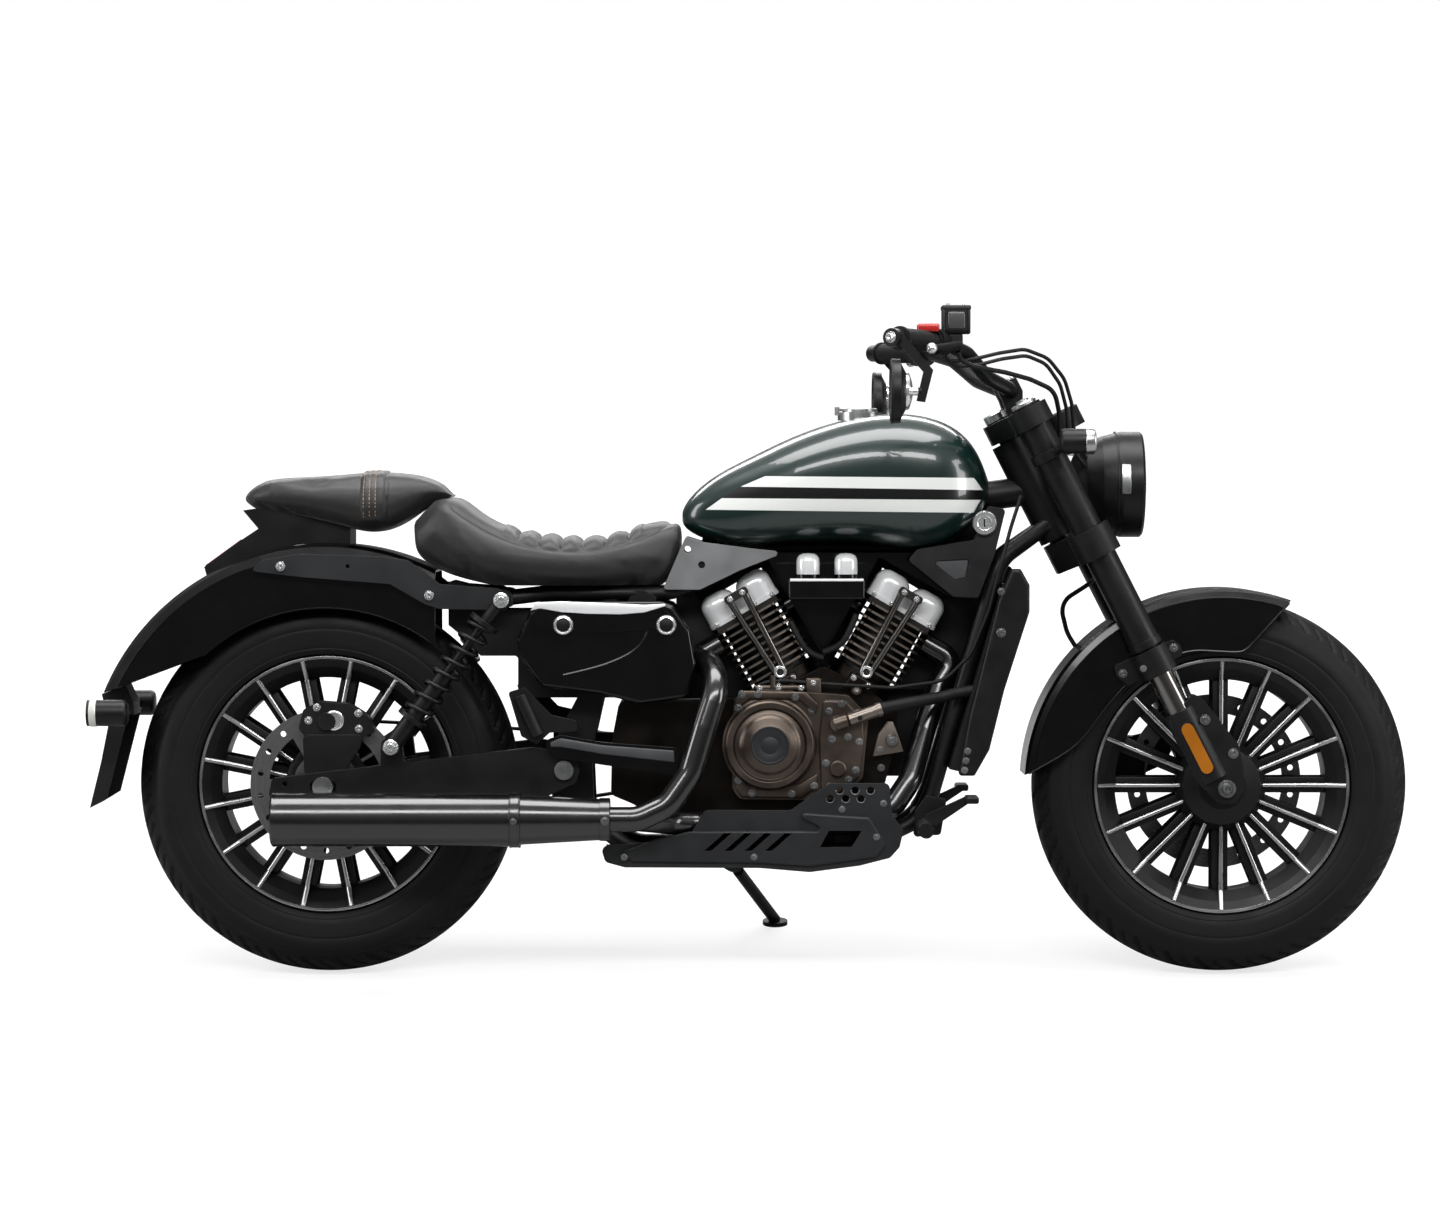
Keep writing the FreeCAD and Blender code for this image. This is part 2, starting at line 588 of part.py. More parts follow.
def shock(side):
    """A coil-over shock: eyes, damper body, rod and the spring round them."""
    tx, tz = SHOCK_TOP
    bx, bz = SHOCK_BOTTOM
    length = math.hypot(tx - bx, tz - bz)
    eye_r = 15.0
    y = SHOCK_Y
    pieces = [Part.makeCylinder(15, length * 0.42 + 12, V(0, 0, 10)),
              Part.makeCylinder(7, length - 40, V(0, 0, 20)),
              Part.makeCylinder(27, 8, V(0, 0, length * 0.18)),
              Part.makeCylinder(27, 8, V(0, 0, length - 52)),
              Part.makeCylinder(SHOCK_EYE_HALF - 0.5, 34, V(0, 0, length - 44))]
    coil_low = length * 0.18 + 8 - 2
    coil_high = length - 52 + 2
    turns = 8
    pitch = (coil_high - coil_low) / turns
    spine = Part.makeHelix(pitch, coil_high - coil_low, 22)
    section = Part.Wire([Part.makeCircle(3.6, V(22, 0, 0), V(0, 1, 0))])
    coil = Part.Wire(spine.Edges).makePipeShell([section], True, True)
    coil.translate(V(0, 0, coil_low))
    pieces.append(coil)
    body = pieces[0].fuse(pieces[1:])
    for z in (0.0, length):
        eye = Part.makeCylinder(eye_r, 2 * SHOCK_EYE_HALF, V(0, -SHOCK_EYE_HALF, z), V(0, 1, 0))
        body = body.fuse(eye)
    for z, bore in ((0.0, 7 + FIT_GAP), (length, 7 + FIT_GAP)):
        body = body.cut(Part.makeCylinder(bore, 40, V(0, -20, z), V(0, 1, 0)))
    tilt = math.degrees(math.atan2(tx - bx, tz - bz))
    body.rotate(V(0, 0, 0), V(0, 1, 0), tilt)
    body.translate(V(bx, y * side, bz))
    return body


def fender_strut(side):
    """The cast rail that carries the rear fender and the shock's upper stud."""
    outline = [(-124, 686), (-105, 704), (-41, 715), (103, 710), (141, 704), (195, 664), (292, 657),
               (318, 646), (318, 630), (305, 620), (195, 622), (170, 630), (111, 664), (-41, 676)]
    plate = rounded_plate(outline, -114, -REAR_FENDER_HALF_W - FIT_GAP, 4)
    tx, tz = SHOCK_TOP
    boss = cross_rod(tx, tz, -SHOCK_Y + SHOCK_EYE_HALF + FIT_GAP, -110, 15)
    stud = cross_rod(tx, tz, -SHOCK_Y - SHOCK_EYE_HALF - 2, -110, 7)
    heads = [cross_rod(x, z, -118, -113, 8) for x, z in ((-73, 694), (177, 645))]
    strut = fuse([plate, boss, stud] + heads)
    strut = strut.cut(cross_rod(RACK[0], RACK[1], -115, -114 + RACK_DEPTH, RACK_R))
    return mirrored(strut) if side > 0 else strut


def shell_arc(centre, outer_r, skirt_r, half_w, corner, a0, a1):
    """A fender shell: crown, rounded corners and side skirts, turned round a wheel's axis."""
    t = FENDER_T
    k = corner * 0.293
    outer = [(skirt_r, -half_w), (outer_r - corner, -half_w), (outer_r - k, -half_w + k),
             (outer_r, -half_w + corner), (outer_r, half_w - corner), (outer_r - k, half_w - k),
             (outer_r - corner, half_w), (skirt_r, half_w)]
    kt = k + t * 0.6
    inner = [(skirt_r, half_w - t), (outer_r - corner, half_w - t), (outer_r - kt, half_w - kt),
             (outer_r - t, half_w - corner), (outer_r - t, -half_w + corner),
             (outer_r - kt, -half_w + kt), (outer_r - corner, -half_w + t), (skirt_r, -half_w + t)]
    return ring_profile(outer + inner, a1 - a0, a0, centre)


def rear_fender():
    shell = shell_arc((0, REAR_FENDER_Z), REAR_FENDER_R, 298, REAR_FENDER_HALF_W, 20, 40, 162)
    wide = REAR_FENDER_HALF_W + 5
    ahead = box(186, 420, -wide, wide, 300, 800)
    below = side_plate([(-198, 546), (-460, 448), (-460, 300), (-150, 300)], -wide, wide)
    return shell.cut([ahead, below])


def tail_trim():
    r = REAR_FENDER_R + FIT_GAP
    z0 = REAR_FENDER_Z

    def on_fender(x):
        return (x, z0 + math.sqrt(r * r - x * x))

    outline = [(-204, 600), on_fender(-204), (-208, 692), (-146, 737), (-116, 757), (-142, 788),
               (-60, 800), (7, 800), (40, 800), (40, 600)]
    trim = side_plate(outline, -62, 62)
    trim = trim.cut(cross_rod(0, z0, -70, 70, r))
    lid = box(-250, 60, -80, 80, 797, 900)
    return max(trim.cut([pillion_seat(FIT_GAP), lid]).Solids, key=lambda piece: piece.Volume)


def battery_box():
    """The box behind the side covers, with its tray over the wheel."""
    outline = [(324, BATTERY_Z), (592, BATTERY_Z), (592, 620), (292, 620), (284, 650), (206, 670), (206, 541),
               (324, 541)]
    tray = rounded_plate(outline, -58, 58, 6)
    return tray.cut(cross_rod(0, REAR_TYRE_R, -60, 60, REAR_TYRE_R + 15))


# Bodywork

TANK_ROWS = [(603, 768, 784, 42), (612, 754, 803, 64), (640, 739, 832, 84), (701, 728, 869, 106),
             (770, 731, 903, 128), (838, 734, 930, 144), (906, 733, 947, 152), (975, 724, 952, 153),
             (1043, 730, 939, 142), (1085, 754, 912, 118), (1110, 782, 875, 86), (1123, 808, 842, 46)]


def tank_crown(x):
    """The height of the tank's ridge."""
    behind, ahead = [pair for pair in zip(TANK_ROWS, TANK_ROWS[1:]) if pair[0][0] <= x <= pair[1][0]][0]
    share = (x - behind[0]) / (ahead[0] - behind[0])
    return behind[2] + share * (ahead[2] - behind[2])


CAP_Z = tank_crown(CAP_X)


def fuel_tank():
    tank = lofted(TANK_ROWS)
    tunnel = side_plate([(590, 700), (1140, 700), (1140, tunnel_roof(1140)), (590, tunnel_roof(590))], -32, 32)
    tank = tank.cut(tunnel)
    seat = Part.makeCylinder(NECK_R + FIT_GAP, 40, V(CAP_X, 0, CAP_Z - 6))
    neck = Part.makeCylinder(26.0, 40, V(CAP_X, 0, CAP_Z - 30))
    return tank.cut([seat, neck])


def filler_neck():
    """The ring round the filler, with the hinge ears of its lid behind."""
    ring = Part.makeCylinder(NECK_R, 13.7, V(CAP_X, 0, CAP_Z - 6 + FIT_GAP))
    collar = Part.makeCylinder(25.5, 26, V(CAP_X, 0, CAP_Z - 24))
    body = ring.fuse(collar)
    body = body.cut(Part.makeCylinder(20, 60, V(CAP_X, 0, CAP_Z - 30)))
    ears = [box(CAP_X - 43, CAP_X - 35, y0, y0 + 5, CAP_Z + 3, CAP_Z + 17) for y0 in (-12.0, 7.0)]
    body = body.fuse(ears)
    return body.cut(cross_rod(CAP_X - 39, CAP_Z + 13, -20, 20, 1.9))


def filler_lid():
    lid = Part.makeCylinder(LID_R, 6, V(CAP_X, 0, CAP_Z + 8.7))
    lid = soften(lid, 2.0, lambda e: e.BoundBox.ZMin > CAP_Z + 14)
    knuckle = cross_rod(CAP_X - 39, CAP_Z + 13, -6.5, 6.5, 4)
    bridge = box(CAP_X - 39, CAP_X - 20, -6.5, 6.5, CAP_Z + 10, CAP_Z + 14)
    pin = cross_rod(CAP_X - 39, CAP_Z + 13, -12, 12, 1.7)
    return fuse([lid, knuckle, bridge, pin])


def rider_seat():
    rows = [(150, 724, 780, 92), (186, 692, 812, 118), (222, 678, 812, 136), (262, 668, 779, 150),
            (320, 658, 753, 154), (400, 655, 741, 150), (460, 654, 740, 138), (513, 654, 753, 120),
            (556, 656, 768, 98), (588, 676, 773, 80), (600, 712, 766, 66)]
    seat = lofted(rows, 3.2)
    seat = seat.cut(box(100, 640, -180, 180, 600, SEAT_BASE_Z + FIT_GAP))
    above = pillion_seat(FIT_GAP)
    clear = [above.translated(V(0, 0, lift)) for lift in (0, 8, 16, 32)]
    under_fender = side_plate([(100, 735), (128, 762), (188, 806), (100, 900)], -170, 170)
    return max(seat.cut(clear + [under_fender]).Solids, key=lambda piece: piece.Volume)


def pillion_seat(room=0.0):
    """The passenger's pad, or with some room round it the hollow that it needs."""
    rows = [(-147, 798, 806, 36), (-136, 795, 822, 66), (-114, 791, 833, 86), (-51, 781, 841, 104),
            (31, 762, 846, 112), (84, 754, 850, 112), (128, 768, 848, 110), (160, 790, 843, 104),
            (192, 808, 830, 92), (216 + room, 809, 814, 70)]
    return lofted([(x, low - room, high + room, half + room) for x, low, high, half in rows], 3.0)


def side_panel(side):
    """The moulded side cover, hollow behind, with its raised upper band."""
    outline = [(346, 616), (366, 636), (566, 636), (588, 628), (616, 588), (626, 530), (612, 474),
               (533, 463), (466, 480), (367, 492), (334, 538), (326, 571)]
    wall = 4.0
    shell = rounded_plate(outline, -146, -100, 8)
    shell = soften(shell, 7, at_y(-146))
    hollow = side_face(outline, -99).makeOffset2D(-wall).extrude(V(0, -(146 - 99 - wall), 0))
    shell = shell.cut(hollow)
    band = rounded_plate([(372, 632), (564, 632), (604, 592), (470, 584), (356, 590), (352, 612)],
                         -149, -145, 8)
    bolts = [cross_rod(x, z, -153, -145, 12) for x, z in ((404, 596), (577, 596))]
    post = cross_rod(502, 575, -143, -PLATE_OUT_Y - FIT_GAP, 7)
    panel = shell.fuse([band, post] + bolts)
    return mirrored(panel) if side > 0 else panel


def pivot_cover(side):
    outline = [(376, 404), (400, 412), (470, 400), (596, 391), (598, 344), (470, 362), (392, 374),
               (376, 390)]
    cover = rounded_plate(outline, -160, -ARM_OUT_Y - 9, 8)
    leg = box(435, 449, -ARM_OUT_Y - 9, -PLATE_OUT_Y - FIT_GAP, 381, 396)
    cover = fuse([cover, leg])
    return mirrored(cover) if side > 0 else cover


def belly_pan():
    """The pan under the engine: louvred right wall, floor and a low left wall."""
    wall = 4.0
    right = -140.0
    left = 72.0
    outline = [(466, 224), (474, 197), (507, 188), (734, 187), (818, 180), (902, 191), (953, 204),
               (969, 222), (976, 252), (956, 276), (952, 330), (852, 330), (785, 284), (642, 285),
               (612, 236)]
    solid = rounded_plate(outline, right, left, 10)
    inside = [(440, 300), (440, 230), (478, 202), (508, 192), (734, 191), (818, 184), (901, 195),
              (951, 208), (965, 224), (971, 252), (990, 300), (990, 340), (440, 340)]
    bulge = rounded_plate([(500, 214), (560, 236), (616, 249), (851, 249), (784, 281), (918, 272), (946, 226),
                           (930, 206), (818, 190), (734, 196), (520, 198)], right - PAN_BULGE, right + 1, 5)
    bulge = soften(bulge, 3, at_y(right - PAN_BULGE))
    pan = solid.fuse(bulge)
    pan = pan.cut(side_plate(inside, right + wall, left - wall))
    pan = pan.cut(box(440, 1000, right + wall, left + 1, 210, 400))
    outside = right - PAN_BULGE - 1
    for i in range(4):
        x = 640 + i * 34
        louvre = side_plate([(x, 216), (x + 12, 216), (x + 46, 246), (x + 34, 246)], outside, right + wall + 1)
        pan = pan.cut(louvre)
    vent = side_plate([(835, 222), (888, 222), (905, 250), (850, 250)], outside, right + wall + 1)
    pan = pan.cut(vent)
    for row, z in enumerate((318, 304)):
        for i in range(3):
            pan = pan.cut(cross_rod(868 - row * 16 + i * 26, z, right - 1, right + wall + 1, 6))
    posts = [cross_rod(x, RAIL_Z, right + 1, -RAIL_Y - RAIL_R - FIT_GAP, 8) for x in (560, 850)]
    return pan.fuse(posts)


# Engine

def bank_frame(front):
    """The placement of one cylinder bank: its own Z runs from the crank up the bore."""
    angle = BANK_ANGLE if front else -BANK_ANGLE
    return FreeCAD.Placement(V(CRANK_X, 0, CRANK_Z), FreeCAD.Rotation(V(0, 1, 0), angle))


def bank_place(shape, front):
    shape = shape.copy()
    shape.Placement = bank_frame(front).multiply(shape.Placement)
    return shape


def crankcase():
    outline = [(482, 306), (520, 290), (598, 240), (700, 216), (880, 216), (926, 262), (948, 330), (966, 400),
               (968, 446), (930, 476), (900, 496), (842, 524), (784, 496), (740, 474), (620, BATTERY_Z - 6),
               (496, BATTERY_Z - 6), (484, 400)]
    case = rounded_plate(outline, -CASE_HALF_W, CASE_HALF_W, 12)
    for front in (False, True):
        neck = bank_place(Part.makeCylinder(BORE_R + 6, FIN_START - 60, V(0, 0, 50)), front)
        tappets = Part.makeBox(44, 30, 38, V(-22, -PUSHROD_Y - 12, 97))
        tappets = soften(tappets, 4, lambda e: True)
        case = case.fuse([neck, bank_place(tappets, front)])
    behind_cover = box(680, 930, -CASE_HALF_W - 30, -CASE_HALF_W, 290, COVER_TOP + FIT_GAP)
    return case.removeSplitter().cut(behind_cover)


def engine_cover(side):
    """The right case cover with its round clutch dome, or the left alternator cover."""
    y = CASE_HALF_W + FIT_GAP
    if side < 0:
        outline = [(688, 318), (700, 300), (860, 298), (908, 335), (918, 440), (884, COVER_TOP - 10),
                   (740, COVER_TOP), (690, COVER_TOP - 20)]
        plate = rounded_plate(outline, -y - COVER_DEPTH, -y, 14)
        face = -y - COVER_DEPTH
        front_cover = rounded_plate([(838, 312), (862, 306), (902, 338), (910, 400), (908, 438), (880, 466),
                                     (842, 468), (834, 400)], face - 8, face + 1, 6)
        front_cover = soften(front_cover, 3, at_y(face - 8))
        dome = ring_profile([(0, face + 4), (76, face + 4), (76, face - 20), (72, face - 26), (62, face - 26),
                             (59, face - 22), (50, face - 24), (46, face - 30), (34, face - 36), (0, face - 38)],
                            centre=(751, 393))
        elbow = rod((866, face - 6, 428), (866, HOSE_Y, 428), HOSE_R + 3)
        outlet = rod((860, HOSE_Y, 427), (882, HOSE_Y, 434), HOSE_R + 3)
        return fuse([plate, front_cover, dome, elbow, outlet])
    outline = [(680, 320), (720, 296), (880, 298), (922, 340), (922, 420), (890, 466), (700, 470)]
    plate = rounded_plate(outline, y, y + 16, 16)
    dome = ring_profile([(0, y + 12), (80, y + 12), (80, y + 32), (70, y + 46), (40, y + 52),
                         (0, y + 54)], centre=(CRANK_X, CRANK_Z))
    return fuse([plate, dome])


def fin_plate(z):
    fin = Part.makeBox(2 * FIN_HALF, 2 * FIN_HALF, FIN_T, V(-FIN_HALF, -FIN_HALF, z))
    return soften(fin, 22, lambda e: e.BoundBox.ZLength > FIN_T - 0.01)


def cylinder(front):
    """One finned barrel and head."""
    top = FIN_START + FINS * FIN_PITCH
    pieces = [Part.makeCylinder(BORE_R, top - FIN_START, V(0, 0, FIN_START - 9.5))]
    pieces += [fin_plate(FIN_START + i * FIN_PITCH) for i in range(FINS)]
    head = Part.makeBox(116, 112, 10, V(-58, -56, top - 10))
    pieces.append(head)
    body = fuse(pieces)
    return bank_place(body, front)


def rocker_cover(front):
    """The polished cover: two round bulges with a waist between, on a flat base."""
    base_z = FIN_START + FINS * FIN_PITCH + FIT_GAP
    lip = Part.makeBox(132, 116, 8, V(-66, -58, base_z))
    lip = soften(lip, 22, lambda e: e.BoundBox.ZLength > 7.9)
    pieces = [lip]
    for x in (-65, 3):
        bulge = Part.makeBox(62, 104, 50, V(x, -54, base_z + 4))
        bulge = soften(bulge, 26, lambda e: e.BoundBox.ZLength > 49.9)
        pieces.append(soften(bulge, 22, lambda e: e.BoundBox.ZMin > base_z + 53.9))
    waist = Part.makeBox(40, 90, 34, V(-20, -46, base_z + 4))
    pieces.append(soften(waist, 8, lambda e: e.BoundBox.ZMin > base_z + 37))
    return bank_place(fuse(pieces), front)


def pushrods(front):
    """Two chrome tubes in front of the fins, from the case's tappet boss to the rocker cover."""
    y = -PUSHROD_Y
    low = 146.0
    high = FIN_START + FINS * FIN_PITCH + 34
    pieces = [rod((x0, y, low), (x1, y, high), 6) for x0, x1 in ((-7, -15), (7, 15))]
    pieces.append(rod((0, y - 9, low), (0, y + 8, low), 10.5))
    top = Part.makeBox(44, 26, 14, V(-22, -58 - FIT_GAP - 24, high - 8))
    pieces.append(soften(top, 5, lambda e: e.BoundBox.YLength > 25.9))
    body = fuse(pieces).cut(rod((0, y - 10, low), (0, y - 5, low), 5.5))
    return bank_place(body, front)


def intake():
    """The air box in the V and under the tank, with the capped box on its right side."""
    body = soften(box(783, 911, -108, 50, 638, 672), 4, lambda e: True)
    in_v = side_plate([(842, 540), (901, 642), (936, 706), (943, 706), (1058, 641), (1072, 656), (1072, 716),
                       (752, 716), (748, 706), (783, 642)], -34, 34)
    throttle = rounded_plate([(842, 552), (893, 640), (926, 698), (758, 698), (791, 640)], -58, 58, 6)
    caps = []
    for x in (816, 880):
        cap = Part.makeCylinder(19, 44, V(x, -80, 671))
        caps.append(soften(cap, 14, lambda e: e.BoundBox.ZMin > 714))
    runners = [bank_place(rod((way * (FIN_HALF + FIT_GAP), 0, PORT_Z), (way * 110, 0, PORT_Z), 15), front)
               for way, front in ((1, False), (-1, True))]
    return fuse([body, in_v, throttle] + runners + caps)


def radiator():
    def front_of_tube(z, off):
        return (downtube_x(z) + off, z)

    seat = RAIL_R / math.cos(math.atan(TUBE_SLOPE)) + FIT_GAP
    outline = [front_of_tube(352, seat), front_of_tube(664, seat), front_of_tube(656, 52),
               front_of_tube(344, 52)]
    core = side_plate(outline, -104, 104)
    tanks = [side_plate(outline, y0, y0 + 15) for y0 in (-119.0, 104.0)]
    end_x = downtube_x(482) + seat
    hose = bent_tube([(883 + FIT_GAP, HOSE_Y, 434.3), (900, HOSE_Y, 440), (944, HOSE_Y + 4, 456), (1000, -104, 466),
                      (1040, -90, 472), (1066, -88.5, 479), (end_x + 6, -88.5, 484)], HOSE_R, 30)
    return fuse([core] + tanks + [hose])


def radiator_shroud(side):
    outline = [(1157, 690), (1172, 690), (1187, 663), (1187, 618), (1145, 487), (1120, 386),
               (1095, 342), (1068, 342), (1085, 437), (1135, 638)]
    plate = rounded_plate(outline, -142, -119 - FIT_GAP, 5)
    plate = soften(plate, 6, at_y(-142))
    return mirrored(plate) if side > 0 else plate


# Exhaust

def bank_point(x, y, z, front):
    """A point of a cylinder bank's own frame, in the bike's frame."""
    moved = bank_frame(front).multVec(V(x, y, z))
    return (moved.x, moved.y, moved.z)


def rear_header():
    port = bank_point(-FIN_HALF - FIT_GAP, -28, PORT_Z, False)
    away = bank_point(-FIN_HALF - 54, -28, PORT_Z, False)
    return bent_tube([port, away, (650, -100, 530), (664, -158, 496), (640, -172, 424), (618, -180, 350),
                      (580, -190, 296), (530, MUFFLER_Y, MUFFLER_Z),
                      (NECK_END_X + FIT_GAP, MUFFLER_Y, MUFFLER_Z)], HEADER_R, 60)


def front_header():
    """From the front port down behind the radiator, along the pan and into the rear pipe."""
    port = bank_point(FIN_HALF + FIT_GAP, 0, PORT_Z, True)
    away = bank_point(FIN_HALF + 60, 0, PORT_Z, True)
    pipe = bent_tube([port, away, (1040, -12, 490), (1014, -44, 412), (988, -84, 330), (956, -100, 284),
                      (900, -112, 262), (626, -112, 259), (586, -128, 262), (556, -160, 268),
                      (524, -188, 273)], HEADER_R - 1, 60)
    return max(pipe.cut(rear_header()).Solids, key=lambda piece: piece.Volume)


def muffler():
    z = MUFFLER_Z
    y = MUFFLER_Y
    body = rod((-82, y, z), (321, y, z), MUFFLER_R)
    body = soften(body, 6, lambda e: e.BoundBox.XMax < -80)
    neck = cone((321, y, z), (NECK_END_X, y, z), MUFFLER_R - 2, MUFFLER_R - 11)
    clamp = rod((318, y, z), (332, y, z), MUFFLER_R + 2)
    outlet = rod((-90, y, z), (-20, y, z), OUTLET_R)
    return fuse([body, neck, clamp]).cut(outlet)


# Fork and steering, laid out in the fork's own frame

def fork_tubes():
    """The two outer tubes, clamped at the top, with a dust seal at the lower end."""
    top = UPPER_CLAMP_Z + UPPER_CLAMP_T + 4
    tubes = []
    for side in (-1, 1):
        foot = V(-LEG_OFFSET, LEG_Y * side, LEG_BOTTOM)
        tube = Part.makeCylinder(LEG_R, top - LEG_BOTTOM, foot)
        cap = Part.makeCylinder(LEG_R - 6, 5, foot + V(0, 0, top - LEG_BOTTOM))
        seal = Part.makeCylinder(LEG_R + 2, 12, foot)
        bore = Part.makeCylinder(STANCHION_R + FIT_GAP, 40, foot - V(0, 0, 1))
        tubes.append(fuse([tube, cap, seal]).cut(bore))
    return fork_place(Part.makeCompound(tubes))


def fork_feet():
    """Each foot: the bright inner tube, the fender clamp and the casting that holds the axle."""
    feet = []
    for side in (-1, 1):
        y = LEG_Y * side
        inner = Part.makeCylinder(STANCHION_R, LEG_BOTTOM + 30 - 100, V(-LEG_OFFSET, y, 100))
        socket = Part.makeCylinder(LEG_R + 1, 130, V(-LEG_OFFSET, y, 22))
        casting = rounded_plate([(-37, 146), (22, 168), (32, 156), (51, 58), (44, 26), (24, -18), (0, -29),
                                 (-24, -16), (-38, 30)], LEG_Y - 18, LEG_Y + 18, 8)
        clamp = Part.makeCylinder(STANCHION_R + 11, FENDER_CLAMP_T, V(-LEG_OFFSET, y, FENDER_CLAMP_Z))
        tab = rounded_plate([(-78, 250), (-74, 268), (36, 262), (42, 248), (38, 232), (-66, 226)],
                            FRONT_FENDER_HALF_W + FIT_GAP, LEG_Y - 12, 6)
        if side < 0:
            casting = mirrored(casting)
            tab = mirrored(tab)
        foot = fuse([inner, socket, casting, clamp, tab])
        feet.append(foot.cut(cross_rod(0, 0, -150, 150, AXLE_R + FIT_GAP)))
    return fork_place(Part.makeCompound(feet))


def clamp_blank(z, thick, lobe_r, front):
    """A fork clamp: two lobes round the legs and a bridge that tapers back to the stem."""
    nose = STEM_R + 12
    back = -STEM_OFFSET - nose
    web_x = -LEG_OFFSET - LEG_R
    plan = [(front, -LEG_Y), (front, LEG_Y), (web_x, LEG_Y), (back, nose), (back, -nose), (web_x, -LEG_Y)]
    corners = [V(x, y, z) for x, y in plan]
    bridge = Part.Face(Part.makePolygon(corners + corners[:1])).extrude(V(0, 0, thick))
    pieces = [bridge]
    for side in (-1, 1):
        pieces.append(Part.makeCylinder(lobe_r, thick, V(-LEG_OFFSET, LEG_Y * side, z)))
    blank = fuse(pieces)
    for side in (-1, 1):
        blank = blank.cut(Part.makeCylinder(LEG_R + FIT_GAP, thick + 2, V(-LEG_OFFSET, LEG_Y * side, z - 1)))
    return blank


def lower_clamp():
    blank = clamp_blank(LOWER_CLAMP_Z, LOWER_CLAMP_T, LEG_R + 11, -22)
    top = UPPER_CLAMP_Z + UPPER_CLAMP_T
    stem = Part.makeCylinder(STEM_R, top + 3 - LOWER_CLAMP_Z, V(-STEM_OFFSET, 0, LOWER_CLAMP_Z))
    nut = Part.makeCylinder(STEM_R + 5, 12, V(-STEM_OFFSET, 0, top + FIT_GAP))
    return fork_place(fuse([blank, stem, nut]))


def upper_clamp():
    """The upper clamp with its two risers, bored for the bar."""
    blank = clamp_blank(UPPER_CLAMP_Z, UPPER_CLAMP_T, LEG_R + 9, -20)
    bar_x, bar_z = BAR_SEAT
    risers = []
    for side in (-1, 1):
        y0, y1 = sorted((28 * side, 56 * side))
        risers.append(rounded_plate([(-40, UPPER_CLAMP_Z + 10), (-12, UPPER_CLAMP_Z + 10), (-12, 724),
                                     (bar_x + 19, bar_z - 10), (bar_x + 19, bar_z + 16),
                                     (bar_x - 19, bar_z + 16), (bar_x - 19, bar_z - 10), (-40, 724)],
                                    y0, y1, 3))
    body = fuse([blank] + risers)
    body = body.cut(Part.makeCylinder(STEM_R + FIT_GAP, 60, V(-STEM_OFFSET, 0, UPPER_CLAMP_Z - 5)))
    return fork_place(body.cut(cross_rod(bar_x, bar_z, -60, 60, BAR_R + FIT_GAP)))


def front_axle():
    y_in = LEG_Y - 18
    pieces = [cross_rod(0, 0, -LEG_Y - 22, LEG_Y + 22, AXLE_R)]
    for side in (-1, 1):
        y0, y1 = sorted(((LEG_Y + 18 + FIT_GAP) * side, (LEG_Y + 24) * side))
        pieces.append(cross_rod(0, 0, y0, y1, 15))
    pieces.append(cross_rod(0, 0, -y_in + FIT_GAP, -64, 16))
    pieces.append(cross_rod(0, 0, FRONT_DISC_Y, y_in - FIT_GAP, 16))
    return fork_place(fuse(pieces))


def front_caliper():
    """The left caliper over the disc, behind the leg, on two arms to the casting."""
    gap = DISC_T / 2 + 3
    outline = [(-166, 96), (-150, 136), (-118, 150), (-88, 132), (-92, 84), (-108, 58), (-140, 62)]
    body = rounded_plate(outline, 52, 100, 8)
    slot = box(-200, -60, FRONT_DISC_Y - gap, FRONT_DISC_Y + gap, 30, 180)
    reach = cross_rod(0, 0, 40, 110, FRONT_DISC_R + 4)
    body = body.cut(slot.common(reach))
    seat_x = -LEG_OFFSET - LEG_R - 1 - FIT_GAP
    arm = side_plate([(-140, 66), (-118, 128), (-90, 132), (seat_x, 118), (seat_x, 78), (-60, 62)], 92, 106)
    return fork_place(fuse([body, arm]))


def front_fender():
    centre = (WHEELBASE, FRONT_TYRE_R)
    radius = FRONT_TYRE_R + FRONT_FENDER_GAP
    shell = shell_arc(centre, radius, radius - 111, FRONT_FENDER_HALF_W, 16, 58, 177)
    y = -FRONT_FENDER_HALF_W - 5

    def p(ahead, up):
        return V(WHEELBASE + ahead, y, FRONT_TYRE_R + up)

    edges = [
        Part.makeLine(p(180, 370), p(117, 317)), Part.makeLine(p(117, 317), p(32, 225)),
        Part.makeLine(p(32, 225), p(-58, 230)),
        Part.Arc(p(-58, 230), p(-159, 181), p(-244, 71)).toShape(),
        Part.makeLine(p(-244, 71), p(-340, 16)), Part.makeLine(p(-340, 16), p(-370, -120)),
        Part.makeLine(p(-370, -120), p(280, -120)), Part.makeLine(p(280, -120), p(180, 370)),
    ]
    away = Part.Face(Part.Wire(edges)).extrude(V(0, -2 * y, 0))
    return shell.cut(away)


def headlamp():
    """The lamp shell, with the foot that stands on the lower clamp."""
    x1 = WHEELBASE - HEADLAMP_SETBACK
    r = HEADLAMP_R
    profile = [V(x1 - 125, 0, 0), V(x1 - 125, 0, 28), V(x1 - 115, 0, 52), V(x1 - 97, 0, 69),
               V(x1 - 70, 0, 82), V(x1 - 37, 0, r), V(x1 - 4, 0, r), V(x1, 0, r - 4), V(x1, 0, r - 10),
               V(x1 - 12, 0, r - 10), V(x1 - 12, 0, 0), V(x1 - 125, 0, 0)]
    shell = Part.Face(Part.makePolygon(profile)).revolve(V(0, 0, 0), V(1, 0, 0), 360)
    shell.translate(V(0, 0, HEADLAMP_Z))
    foot = fork_place(box(-22 + FIT_GAP, 24, -17, 17, 468, LOWER_CLAMP_Z + LOWER_CLAMP_T - 1))
    return fuse([shell, foot])


